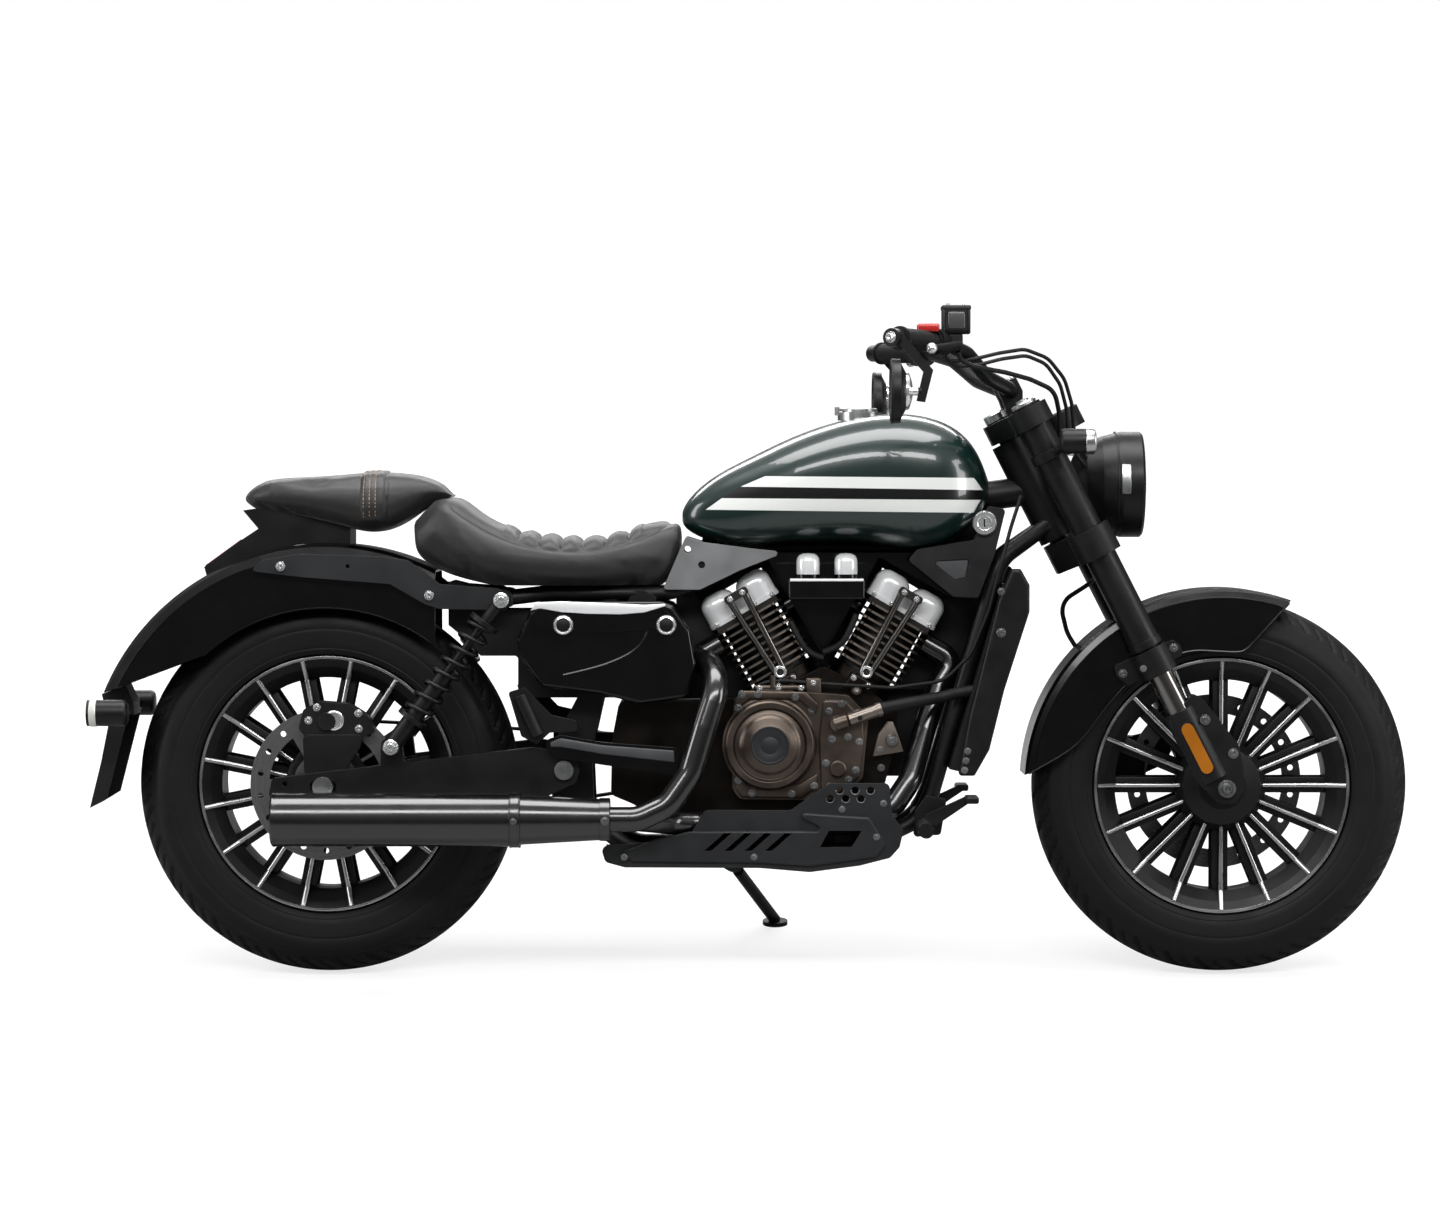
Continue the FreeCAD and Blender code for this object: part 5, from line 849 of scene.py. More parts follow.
def taped_patch(tree, place, corners, edge_mm=0.5):
    """1 inside a convex outline of (x, z) corners in millimetres, listed anticlockwise, 0 outside."""
    inside = None
    for (x0, z0), (x1, z1) in zip(corners, corners[1:] + corners[:1]):
        run = math.hypot(x1 - x0, z1 - z0)
        normal = Vector((-(z1 - z0) / run, 0, (x1 - x0) / run))
        offset = normal.dot(Vector((x0, 0, z0))) * MM
        reach = add_node(tree, "ShaderNodeVectorMath", {1: normal}, {0: place}, operation="DOT_PRODUCT")
        step = add_node(tree, "ShaderNodeMapRange", {"From Min": offset, "From Max": offset + edge_mm * MM},
                        {"Value": reach.outputs["Value"]}).outputs["Result"]
        if inside is None:
            inside = step
        else:
            both = add_node(tree, "ShaderNodeMath", None, {0: inside, 1: step}, operation="MULTIPLY")
            inside = both.outputs[0]
    return inside


UPPER_STRIPE = [(701, 828), (1112, 822), (1095, 843), (743, 846)]
LOWER_STRIPE = [(642, 789), (1095, 784), (1108, 806), (670, 809)]
BLACK_BAND = [(670, 809), (1108, 806), (1112, 822), (701, 828)]


def tank_lacquer():
    """Green base with fine flakes, taped stripes, and clear coat with a hint of orange peel."""
    material, tree, shader, coords = start_material(
        "green_tank_lacquer", IOR=1.5, Roughness=0.28, Coat_Weight=0.7, Coat_Roughness=0.03)
    flakes = add_node(tree, "ShaderNodeTexVoronoi", {"Scale": 1 / (0.9 * MM)}, {"Vector": coords})
    paint = add_node(tree, "ShaderNodeMix", {6: colour("#061a17"), 7: colour("#0a2622")},
                     {0: flakes.outputs["Distance"]}, data_type="RGBA").outputs[2]
    place = upright_place(tree, coords)
    for corners, hex_value in ((BLACK_BAND, "#0a0a0b"), (UPPER_STRIPE, "#eceeeb"), (LOWER_STRIPE, "#eceeeb")):
        patch = taped_patch(tree, place, corners)
        paint = add_node(tree, "ShaderNodeMix", {7: colour(hex_value)}, {0: patch, 6: paint},
                         data_type="RGBA").outputs[2]
    tree.links.new(paint, shader.inputs["Base Color"])
    peel = add_node(tree, "ShaderNodeTexNoise", {"Scale": 1 / (9.0 * MM), "Detail": 2.0}, {"Vector": coords})
    bump = add_node(tree, "ShaderNodeBump", {"Distance": 0.01 * MM}, {"Height": peel.outputs["Fac"]})
    tree.links.new(bump.outputs["Normal"], shader.inputs["Normal"])
    return material


give("fuel_tank", tank_lacquer())
print("tank in", nodes["fuel_tank"].data.materials[0].name)

# %% [markdown]
# One pressing at each side closes the corner between seat and tank. It is bare satin alloy, while the plate
# at the steering head is black. Both are one piece in the construction, which keeps its mesh, so the finish
# changes at a line across the machine: everything ahead of 850 mm is black.

# %% Frame covers in two finishes
CHANGE_X = 0.85


def two_tone_cover():
    """Satin alloy behind, black lacquer ahead of a line across the machine."""
    material, tree, shader, coords = start_material("satin_alloy_and_black_cover", IOR=1.48)
    rough_and_bump(tree, shader, coords, 0.9, 0.34, 0.46, 0.01, 1.0)
    parts = add_node(tree, "ShaderNodeSeparateXYZ", None, {0: upright_place(tree, coords)})
    ahead = add_node(tree, "ShaderNodeMath", {1: CHANGE_X}, {0: parts.outputs["X"]}, operation="GREATER_THAN")
    paint = add_node(tree, "ShaderNodeMix", {6: colour("#8e8f90"), 7: colour("#0a0a0b")}, {0: ahead.outputs[0]},
                     data_type="RGBA")
    tree.links.new(paint.outputs[2], shader.inputs["Base Color"])
    metal = add_node(tree, "ShaderNodeMath", {0: 0.8}, {1: ahead.outputs[0]}, operation="SUBTRACT",
                     use_clamp=True)
    tree.links.new(metal.outputs[0], shader.inputs["Metallic"])
    return material


give("frame_covers", two_tone_cover())
print("frame covers in", nodes["frame_covers"].data.materials[0].name)

# %% [markdown]
# The wheels are cast in one piece and painted black, then put in a lathe and a mill that cut the paint off the
# webs' outer edges and the rim's lip, so bright ridges stand out on black. The ridges are bars that widen
# towards the rim, each laid on the edge of its web, and the lip is a turned ring.

# %% Machined ridges on the cast wheels
SPOKES = 16
LIP_R = 214.6


def wheel_ridges(bm, centre, first_angle, sides):
    """Bright ridges on both faces; sides holds (hub y, well y, lip y) for each face."""
    cx, cz = centre
    for hub_y, well_y, lip_y in sides:
        for i in range(SPOKES):
            angle = math.radians(first_angle + i * 360.0 / SPOKES)

            def at(r, y):
                return (cx + r * math.cos(angle), y, cz + r * math.sin(angle))

            bar(bm, at(70, hub_y), at(182, well_y), 3.6, 4.6, steps=12)
            bar(bm, at(180, well_y), at(212, lip_y), 4.6, 4.2, steps=12)
        ring = [(LIP_R + 3.0 * math.cos(a), lip_y + 1.6 * math.sin(a)) for a in
                (math.radians(step * 45) for step in range(9))]
        turned(bm, ring, across(cx, 0, cz), 144)


FRONT_HUB = (WHEELBASE, FRONT_R)
REAR_HUB = (0.0, REAR_R)
FRONT_FIRST_WEB = 90.0
REAR_FIRST_WEB = 78.75
bm = bmesh.new()
wheel_ridges(bm, FRONT_HUB, FRONT_FIRST_WEB, [(-43.8, -42.0, -54.4), (45.2, 42.0, 54.4)])
piece_from("front_wheel_ridges", bm, "front_wheel", MACHINED)
bm = bmesh.new()
wheel_ridges(bm, REAR_HUB, REAR_FIRST_WEB, [(-59.4, -52.2, -64.4), (57.9, 52.2, 64.4)])
piece_from("rear_wheel_ridges", bm, "rear_wheel", MACHINED)

# %% [markdown]
# Behind each bright ridge the cast web is broader than its edge. A flat black flange on both sides of it
# stiffens the wheel and makes the spoke look 27 mm wide. The flanges are thin rounded blocks between hub and
# rim, one near each face, because their own edges are never seen.

# %% Web flanges
def web_flanges(bm, centre, first_angle, planes):
    """Black flanges from hub to rim at the given distances across the wheel."""
    for y in planes:
        for i in range(SPOKES):
            place = across(centre[0], y, centre[1]) @ Matrix.Rotation(
                math.radians(-first_angle - i * 360.0 / SPOKES), 4, "Z")
            block(bm, (60, -13.5, -2.5), (185, 13.5, 2.5), 1.5, place)


bm = bmesh.new()
web_flanges(bm, FRONT_HUB, FRONT_FIRST_WEB, (-26, 26))
piece_from("front_web_flanges", bm, "front_wheel", SATIN_BLACK)
bm = bmesh.new()
web_flanges(bm, REAR_HUB, REAR_FIRST_WEB, (-34, 34))
piece_from("rear_web_flanges", bm, "rear_wheel", SATIN_BLACK)

# %% [markdown]
# A road tyre's tread is moulded: long slanted grooves that sweep from near the middle to the shoulder, by
# turns on either side, with a short sipe between them. The cross-section is spun round the axle in small
# steps, and the points that lie in a groove are pushed in. Fine rings are part of the cross-section. One
# wedge is spun and then repeated round the axle, because a spin of many steps takes long.

# %% Tyre cross-section and tread
CROWN_R = 70.0
SHOULDER = math.radians(55)


def tyre_outline(radius, width, seat_y):
    """(radius, y) points from one bead round the crown to the other."""
    half = width / 2
    right = [(205.3, -seat_y + 0.3), (218.4, -seat_y + 0.3), (221.0, -half + 7.0), (226.0, -half + 3.8),
             (229.0, -half + 2.6), (230.5, -half + 3.2), (232.0, -half + 2.4), (240.0, -half + 0.9),
             (radius - 66, -half + 0.2), (radius - 62, -half - 0.2), (radius - 60.5, -half + 0.8),
             (radius - 59, -half + 0.1), (radius - 50, -half + 1.2), (radius - 42, -half + 3.6),
             (radius - 36, -half + 6.6)]
    crown = []
    steps = 44
    for i in range(steps + 1):
        turn = -SHOULDER + 2 * SHOULDER * i / steps
        crown.append((radius - CROWN_R + CROWN_R * math.cos(turn), CROWN_R * math.sin(turn)))
    right = [(r, max(y, -half)) for r, y in right]
    return right + crown + [(r, -y) for r, y in reversed(right)]


def tread_depth(angle, y, half, repeats):
    """How deep the tread is cut at an angle round the tyre and a distance across it."""
    side = 1 if y > 0 else -1
    out = abs(y) / half
    turn = angle * repeats / (2 * math.pi) + (0.5 if side > 0 else 0.0)
    sweep = turn - 0.9 * out ** 1.4
    main = abs((sweep % 1.0) - 0.5)
    short = abs(((sweep + 0.5) % 1.0) - 0.5)
    depth = 0.0
    if 0.14 < out < 0.93 and main < 0.075:
        depth = 4.0
    if 0.55 < out < 0.88 and short < 0.05:
        depth = 3.0
    return depth


# %% [markdown]
# The whole tyre is one bmesh. Its wedge becomes a mesh once, is added sixteen times, each turned a little
# further, and the doubled seams are merged. Then the tread is pressed in, from one repeat to the next.

# %% Tyres
WEDGES = 16
WEDGE_STEPS = 34
TREAD_REPEATS = 34


def tyre(name, node, body, centre, radius, width):
    """A tyre with its tread, which stands for the construction's plain one."""
    seat_y = width / 2 - 17
    wedge = bmesh.new()
    line = [wedge.verts.new((r, 0, h)) for r, h in tyre_outline(radius, width, seat_y)]
    edges = [wedge.edges.new(pair) for pair in zip(line, line[1:])]
    bmesh.ops.spin(wedge, geom=line + edges, cent=(0, 0, 0), axis=(0, 0, 1), angle=math.radians(360 / WEDGES),
                   steps=WEDGE_STEPS, use_merge=False, use_duplicate=False)
    mesh = bpy.data.meshes.new("tyre_wedge")
    wedge.to_mesh(mesh)
    wedge.free()
    bm = bmesh.new()
    for i in range(WEDGES):
        copy = bmesh.new()
        copy.from_mesh(mesh)
        pour(bm, copy, Matrix.Rotation(math.radians(i * 360 / WEDGES), 4, "Z"))
    bpy.data.meshes.remove(mesh)
    bmesh.ops.remove_doubles(bm, verts=bm.verts, dist=0.001)
    bmesh.ops.recalc_face_normals(bm, faces=bm.faces)
    half = CROWN_R * math.sin(SHOULDER)
    for vert in bm.verts:
        x, y, h = vert.co
        r = math.hypot(x, y)
        if r > radius - 40:
            cut = tread_depth(math.atan2(y, x), h, half, TREAD_REPEATS)
            vert.co -= Vector((x / r, y / r, 0.55 * h / half)).normalized() * cut
    bmesh.ops.transform(bm, matrix=across(centre[0], 0, centre[1]), verts=bm.verts)
    return piece_from(name, bm, body, TYRE, (node,), angle=40)


tyre("front_tread_tyre", "front_tyre", "front_wheel", FRONT_HUB, FRONT_R, 130.0)
tyre("rear_tread_tyre", "rear_tyre", "rear_wheel", REAR_HUB, REAR_R, 150.0)

# %% [markdown]
# The engine is what a rider looks at first. Its big castings come with the frame; here come the things that
# are screwed to them: the rings of the clutch cover, the case bolts, the cast ribs between the covers, the
# tappet screws under the pushrods and the small bolts of the rocker covers.

# %% Where things sit on a cylinder bank
CRANK = (842.0, 388.0)
BANK_TILT = math.radians(30.0)
COVER_FACE_Y = -99.3
RAISED_FACE_Y = -107.3


def bank(front):
    """The place of a cylinder: its Z runs up the bore from the crank."""
    tilt = BANK_TILT if front else -BANK_TILT
    return Matrix.Translation((CRANK[0], 0, CRANK[1])) @ Matrix.Rotation(tilt, 4, "Y")


print("banks at", round(math.degrees(2 * BANK_TILT)), "degrees to each other")

# %% [markdown]
# The clutch cover is a deep turned drum with a raised outer ring, a dished face and a flat plate in its
# middle with turned lines. Rings could be stacked from cylinders, but their edges would not blend. So all of
# it is one spun outline, as it is on the lathe.

# %% Clutch cover rings
DRUM = [(32.6, 37.4), (34.2, 37.0), (36.0, 35.7), (45.2, 31.4), (46.8, 30.2), (50.6, 25.0), (54.0, 23.8),
        (58.6, 22.7), (61.4, 26.0), (62.8, 27.2), (71.8, 27.2), (74.4, 25.0), (76.6, 20.8), (76.6, 2.0),
        (80.0, 0.3)]
MIDDLE_PLATE = [(0, 38.5), (14.0, 38.3), (14.8, 37.8), (15.6, 38.2), (28.6, 37.9), (29.4, 38.9), (31.8, 38.9),
                (32.6, 37.4)]
bm = bmesh.new()
turned(bm, DRUM, facing_right(751, COVER_FACE_Y, 393), 96)
turned(bm, MIDDLE_PLATE, facing_right(751, COVER_FACE_Y, 393), 96, mat=1)
piece_from("clutch_drum_rings", bm, "chassis", [BRONZE, CAST_GREY])

# %% [markdown]
# Behind the drum the case is split into covers with a rib along each joint and a small socket bolt every few
# centimetres. The ribs could be cut into the casting, but flat plates with a bevelled rim catch the same
# line of light. The bolts are zinc plated and stand in one list, so that one loop sets them all.

# %% Case ribs and bolts
CASE_BOLTS = [(704, 478, -104.8), (731, 478, -104.8), (794, 473, -104.8), (721, 311, -103.8), (788, 310, -103.8),
              (826, 323, -103.8), (698, 333, -103.8), (696, 428, COVER_FACE_Y), (698, 455, -104.8),
              (822, 451, COVER_FACE_Y), (851, 450, RAISED_FACE_Y), (872, 462, RAISED_FACE_Y),
              (900, 446, RAISED_FACE_Y), (883, 406, RAISED_FACE_Y), (856, 402, RAISED_FACE_Y),
              (846, 362, RAISED_FACE_Y), (852, 322, RAISED_FACE_Y), (896, 350, RAISED_FACE_Y),
              (902, 398, RAISED_FACE_Y), (940, 352, -76), (958, 456, -76)]
bm = bmesh.new()
plate(bm, [(694, 452), (716, 470), (800, 470), (828, 446), (832, 462), (812, 482), (708, 484), (690, 470)],
      COVER_FACE_Y + 3, COVER_FACE_Y - 6)
plate(bm, [(704, 304), (806, 302), (832, 322), (832, 344), (800, 326), (712, 326), (698, 346), (694, 318)],
      COVER_FACE_Y + 3, COVER_FACE_Y - 5)
turned(bm, [(0, 7.0), (12.0, 7.0), (14.0, 5.6), (14.6, 0.0)], facing_right(866, RAISED_FACE_Y + 0.5, 352), 40)
piece_from("case_ribs", bm, "chassis", BRONZE)
bm = bmesh.new()
for x, z, y in CASE_BOLTS:
    hex_bolt(bm, facing_right(x, y, z), 9.0)
piece_from("case_bolts", bm, "chassis", ZINC)

# %% [markdown]
# On top of the case each cylinder has a tappet block with its screws and a chromed collar round the foot of
# the pushrod tube. A clutch lever and its bracket sit between them. What belongs to a cylinder is set in the
# axes of its bank, so one list of places serves both.

# %% Tappet screws, collars and the clutch lever
bm = bmesh.new()
block(bm, (724, -98, 484), (812, -80, 493), 3.5)
block(bm, (812, -96, 470), (838, -82, 505), 3.0)
bar(bm, (756, -94, 484), (756, -94, 509), 5.5, steps=18)
bar(bm, (790, -84, 484), (790, -84, 507), 5.0, steps=18)
for front in (False, True):
    bar(bm, bank(front) @ Vector((0, -87, 112)), bank(front) @ Vector((0, -80, 112)), 9.0, steps=24)
piece_from("clutch_lever", bm, "chassis", BRONZE)
bm = bmesh.new()
for front in (False, True):
    place = bank(front)
    for x, z in ((-14, 127), (14, 127), (0, 112)):
        hex_bolt(bm, place @ facing_right(x, -84 if x else -87, z), 7.0)
    for x, z in ((-54, 267), (54, 267), (-20, 267), (20, 267)):
        hex_bolt(bm, place @ facing_right(x, -57.6, z), 6.0)
    for x in (-12, 12):
        hex_bolt(bm, place @ facing_right(x, -82, 295), 7.0)
    turned(bm, [(6.0, -4.0), (6.0, 1.6), (7.2, 2.4), (9.8, 2.4), (11.0, 1.2), (11.0, -6.0)],
           place @ facing_right(0, -81, 146), 32)
for x, z, y in ((734, 488, -98), (766, 488, -98), (804, 488, -98), (825, 497, -96)):
    hex_bolt(bm, facing_right(x, y, z), 6.5)
piece_from("top_end_bolts", bm, "chassis", CHROME)

# %% [markdown]
# The barrels' fins were painted and then skimmed, so only their outer edges are lighter. A material could
# find the edges by their place, but the fins are square with round corners and stand at an angle. So a thin
# lip goes round each fin: a grid with bevelled corners, inset and extruded, a little proud of the fin.

# %% Skimmed fin edges
FIN_START = 150.0
FIN_PITCH = 12.5
FIN_HALF = 63.0
FIN_CORNER = 22.0
FINS_PER_BARREL = 9
LIP_THICK = 3.8


def fin_lip(bm, place, z):
    """A thin closed band round a fin with rounded corners."""
    loose = bmesh.new()
    bmesh.ops.create_grid(loose, x_segments=1, y_segments=1, size=FIN_HALF + 0.15)
    bmesh.ops.bevel(loose, geom=loose.verts[:], offset=FIN_CORNER, offset_type="OFFSET", affect="VERTICES",
                    segments=5, profile=0.5, material=-1)
    rim = bmesh.ops.inset_region(loose, faces=loose.faces[:], thickness=1.2, use_boundary=True)
    inner = [face for face in loose.faces if face not in rim["faces"]]
    bmesh.ops.delete(loose, geom=inner, context="FACES")
    lifted = bmesh.ops.extrude_face_region(loose, geom=loose.faces[:])
    top = [item for item in lifted["geom"] if isinstance(item, bmesh.types.BMVert)]
    bmesh.ops.translate(loose, vec=(0, 0, LIP_THICK), verts=top)
    pour(bm, loose, place @ Matrix.Translation((0, 0, z)))


bm = bmesh.new()
for front in (False, True):
    for i in range(FINS_PER_BARREL):
        fin_lip(bm, bank(front), FIN_START + i * FIN_PITCH + 0.1)
piece_from("skimmed_fin_edges", bm, "chassis", SKIMMED)

# %% [markdown]
# Between the barrels hang the throttle's two hoses. In front a bare pipe leaves the water pump and is
# clamped into the rubber hose, and a cast bracket holds the engine. The hoses bend, so they are swept along a
# smooth curve through a few points, while the pipe is straight and needs only a bar.

# %% Throttle hoses, pump pipe and engine bracket
bm = bmesh.new()
hose(bm, [(786, -72, 600), (800, -74, 570), (818, -72, 545), (842, -70, 538)], 5.5)
hose(bm, [(898, -72, 612), (886, -74, 580), (868, -72, 556), (842, -70, 548)], 5.5)
piece_from("throttle_hoses", bm, "chassis", RUBBER)

bm = bmesh.new()
bar(bm, (885, -118, 434.9), (936, -114.6, 453.0), 10.9, steps=28)
bar(bm, (931, -115.0, 451.3), (939, -114.4, 454.2), 12.4, steps=28)
turned(bm, [(14.4, -13.0), (14.4, -3.0), (12.5, 0.4), (6.0, 0.9), (0, 0.9)], facing_right(866, -118, 428), 32)
plate(bm, [(925, 371), (978, 380), (974, 392), (960, 431), (950, 431), (934, 409)], -73, -88)
turned(bm, [(11.0, 0), (11.0, 4.0), (9.5, 5.5), (0, 5.5)], facing_right(958, -88, 399), 28)
piece_from("pump_pipe", bm, "chassis", SKIMMED)

bm = bmesh.new()
for x, y, z, size in ((958, -93, 399, 12), (938, -88, 384, 8), (884, -107, 334, 9), (1139, -142, 583, 11),
                      (1139, -142, 652, 9), (1083, -142, 384, 8), (1080, -142, 368, 8), (1078, -142, 352, 8)):
    hex_bolt(bm, facing_right(x, y, z), size)
    if x > 1000:
        hex_bolt(bm, facing_left(x, y, z), size)
piece_from("front_mount_bolts", bm, "chassis", ZINC)

# %% [markdown]
# The intake's two caps are domes on a black box whose front edge is bare. Caps and edge have the plated cover's
# white diffuse, a painted reflection of the white studio. A sphere cut in half is too tall for them, so they are
# turned from an outline with a straight skirt and a flatter crown.

# %% Intake caps
bm = bmesh.new()
for x in (816, 880):
    turned(bm, [(19.3, 9.0), (19.6, 10.0), (19.6, 30.0), (18.4, 36.5), (15.2, 41.0), (10.0, 43.9), (0, 44.9)],
           Matrix.Translation((x, -80, 671)), 40)
bar(bm, (785, -106.4, 670.6), (909, -106.4, 670.6), 2.6, steps=16)
piece_from("intake_caps", bm, "chassis", PAINTED_WHITE_COVER)

# %% [markdown]
# Behind, ahead of and between the barrels, and under the tank, thin black sheets are painted shade: dark plates
# where the machine's inner parts lie in shadow. Without them one looks straight through the engine to the white
# backdrop. Two wiring looms run along the sheet under the tank.

# %% Dark sheets of painted shade in the engine, and the wiring looms
SHADE_UNDER_TANK = [(592, 652), (608, 610), (634, 618), (642, 632), (738, 689), (742, 702), (942, 702), (946, 689),
        (1042, 632), (1050, 618), (1060, 612), (1078, 640), (1098, 655), (1104, 700), (1104, 738), (740, 738),
        (700, 725), (640, 700)]
SHADE_BETWEEN_BARRELS = [(842, 492), (834, 511), (758, 642), (762, 648), (738, 688), (735, 708), (949, 708), (946, 688),
          (922, 648), (926, 642), (850, 511)]
SHADE_BEHIND_BARRELS = [(592, 466), (730, 466), (722, 486), (668, 584), (662, 586), (644, 616), (634, 634), (618, 652),
              (592, 652)]
SHADE_AHEAD_OF_BARRELS = [(962, 480), (1066, 480), (1090, 560), (1116, 648), (1104, 660), (1066, 652), (1050, 634),
               (1040, 616), (1022, 586), (1016, 584)]
SHADE_BY_FRONT_MOUNT = [(948, 486), (1048, 486), (1028, 450), (1006, 400), (988, 360), (975, 330), (948, 330)]
bm = bmesh.new()
# Each sheet is painted shade, a black plate where the engine's inside lies in shadow.
for sheet, y_back, y_face in ((SHADE_UNDER_TANK, 39.5, 36.0), (SHADE_BETWEEN_BARRELS, 37.2, 34.6), (SHADE_BEHIND_BARRELS, 2.0, -2.0),
                              (SHADE_AHEAD_OF_BARRELS, 31.0, 27.0), (SHADE_BY_FRONT_MOUNT, 50.0, 46.0)):
    plate(bm, sheet, y_back, y_face, 1.0)
for y in (-14, 14):
    hose(bm, [(742, y, 722), (850, y, 726), (960, y, 722), (1080, y, 730), (1120, y, 752)], 6.0)
piece_from("painted_shade_sheets", bm, "chassis", MOULDED_BLACK)

# %% [markdown]
# At the front, small bright parts mark the edges of dark ones: the mirror glasses and their collars, the
# caps of the fork tubes, the ends of the indicators and the lock. A rider sees them from the saddle too, so
# both sides get them. Most are turned outlines set on the part that carries them.

# %% Mirror glasses and their collars
BAR_END = Vector((955.0, -400.0, 1068.0))
BAR_WAY = (Vector((1038.0, -262.0, 1064.0)) - BAR_END).normalized()


def facing_back(x, y, z):
    """A place whose Z axis points to the machine's rear."""
    return Matrix.Translation((x, y, z)) @ Matrix.Rotation(math.radians(-90), 4, "Y")


def facing_ahead(x, y, z):
    """A place whose Z axis points forward."""
    return Matrix.Translation((x, y, z)) @ Matrix.Rotation(math.radians(90), 4, "Y")


MIRROR_X = BAR_END.x - 11.0
MIRROR_Y = 415.0
MIRROR_Z = 982.0
bm = bmesh.new()
for side in (-1, 1):
    turned(bm, [(0, 1.2), (30, 0.8), (47.5, 0.2), (48.0, -0.5)], facing_back(MIRROR_X, MIRROR_Y * side, MIRROR_Z),
           64)
    turned(bm, [(23.0, 0.0), (29.0, 0.0), (30.5, 1.5), (30.5, 7.5), (28.5, 10.5), (14.0, 15.0), (7.2, 16.0),
                (7.2, 24.0), (6.0, 25.0)], facing_ahead(MIRROR_X + 18.0, MIRROR_Y * side, MIRROR_Z), 48)
piece_from("mirror_glasses", bm, "steering", CHROME)
bm = bmesh.new()
for side in (-1, 1):
    turned(bm, [(48.0, -0.5), (48.0, 1.6), (50.0, 2.4), (52.3, 1.2), (52.6, -3.0)],
           facing_back(MIRROR_X, MIRROR_Y * side, MIRROR_Z), 64)
    for t in range(10, 108, 6):
        centre = BAR_END + BAR_WAY * t
        outer = BAR_END + BAR_WAY * (t + 3)
        if side > 0:
            centre.y, outer.y = -centre.y, -outer.y
        turned(bm, [(16.8, 0), (17.7, 0.6), (17.7, 2.6), (16.8, 3.2)], along(centre, outer), 28)
piece_from("grip_ribs", bm, "steering", RUBBER)

# %% [markdown]
# The right hand has a red stop switch above the grip and a grey fluid reservoir with a sight window. They
# are moulded boxes, so blocks with rounded edges are let into the housing. The bars end in bright weights
# with a bolt, which are turned and mirrored to the other side.

# %% Switches, reservoir and bar-end bolts
bm = bmesh.new()
block(bm, (990, -326, 1081), (1026, -290, 1095), 4.0)
block(bm, (1041, -298.4, 1087), (1069, -294.0, 1115), 2.5, mat=1)
block(bm, (1031, -297.2, 1117), (1079, -246.8, 1126), 3.0, mat=2)
block(bm, (1032, -297.0, 1079), (1036, -250.0, 1118), 1.5, mat=2)
block(bm, (1074, -297.0, 1079), (1078, -250.0, 1118), 1.5, mat=2)
for x, y in ((1041, -290), (1069, -254)):
    hex_bolt(bm, Matrix.Translation((x, y, 1126)), 5.0, mat=3)
piece_from("right_hand_switch", bm, "steering", [RED, GREY_WINDOW, CAST_GREY, ZINC])
bm = bmesh.new()
for side in (-1, 1):
    tip = BAR_END - BAR_WAY * 24.2
    away = tip - BAR_WAY * 10
    if side > 0:
        tip.y, away.y = -tip.y, -away.y
    hex_bolt(bm, along(tip, away), 13.0)
    turned(bm, [(0, 9.1), (4.0, 8.2), (7.6, 5.0), (9.1, 0), (7.6, -5.0), (4.0, -8.2), (0, -9.1)],
           Matrix.Translation((1010, 392 * side, 1052)), 28)
piece_from("bar_end_bolts", bm, "steering", CHROME)

# %% [markdown]
# The fork's caps and the stem's nut are bright against black, and so is the gauge's rim. The gauge has a
# black face with white divisions and a needle. The divisions are thin raised bars, since paint that fine
# would be lost from a metre away.

# %% Fork caps, stem nut and gauge
TUBE_X = -11.0
TUBE_Y = 110.0
bm = bmesh.new()
for side in (-1, 1):
    turned(bm, [(21.4, 0.3), (22.0, 1.0), (22.0, 5.2), (20.0, 7.2), (11.5, 7.2), (11.5, 11.0), (10.0, 12.0),
                (4.0, 12.0), (3.4, 10.6), (0, 10.6)],
           FORK @ Matrix.Translation((TUBE_X, TUBE_Y * side, 728)), 40)
turned(bm, [(19.9, -10.5), (20.4, -10.0), (20.4, 1.4), (18.6, 3.2), (9.0, 3.2), (8.0, 1.2), (0, 1.2)],
       FORK @ Matrix.Translation((-56, 0, 736.3)), 40)
for side in (-1, 1):
    for x in (-30, -4):
        hex_bolt(bm, FORK @ Matrix.Translation((x, 42 * side, 778)), 7.0)
piece_from("fork_caps", bm, "steering", SILVER)
GAUGE = FORK @ Matrix.Translation((36, 0, 688))
bm = bmesh.new()
turned(bm, [(36.0, 0.2), (36.4, 2.6), (38.6, 3.4), (41.2, 1.6), (41.4, -6.0)], GAUGE, 64)
bar(bm, GAUGE @ Vector((0, 0, 0.6)), GAUGE @ Vector((0, 0, 2.4)), 4.0, steps=20)
for i in range(25):
    tick = GAUGE @ Matrix.Rotation(math.radians(-30 + i * 10), 4, "Z")
    block(bm, (26 if i % 4 == 0 else 29, -0.5, 0.1), (33, 0.5, 0.5), 0.0, tick, mat=1)
block(bm, (-5, -0.8, 1.0), (27, 0.8, 1.6), 0.0, GAUGE @ Matrix.Rotation(math.radians(200), 4, "Z"), mat=2)
piece_from("gauge_face", bm, "steering", [SATIN_BLACK, LENS_WHITE, RED])

# %% [markdown]
# The head lamp is a black shell with a trim ring whose flank carries a small slot. The indicators are black
# pots with a silver end and a milky lens. The ring and the slots are short sweeps of a small outline.

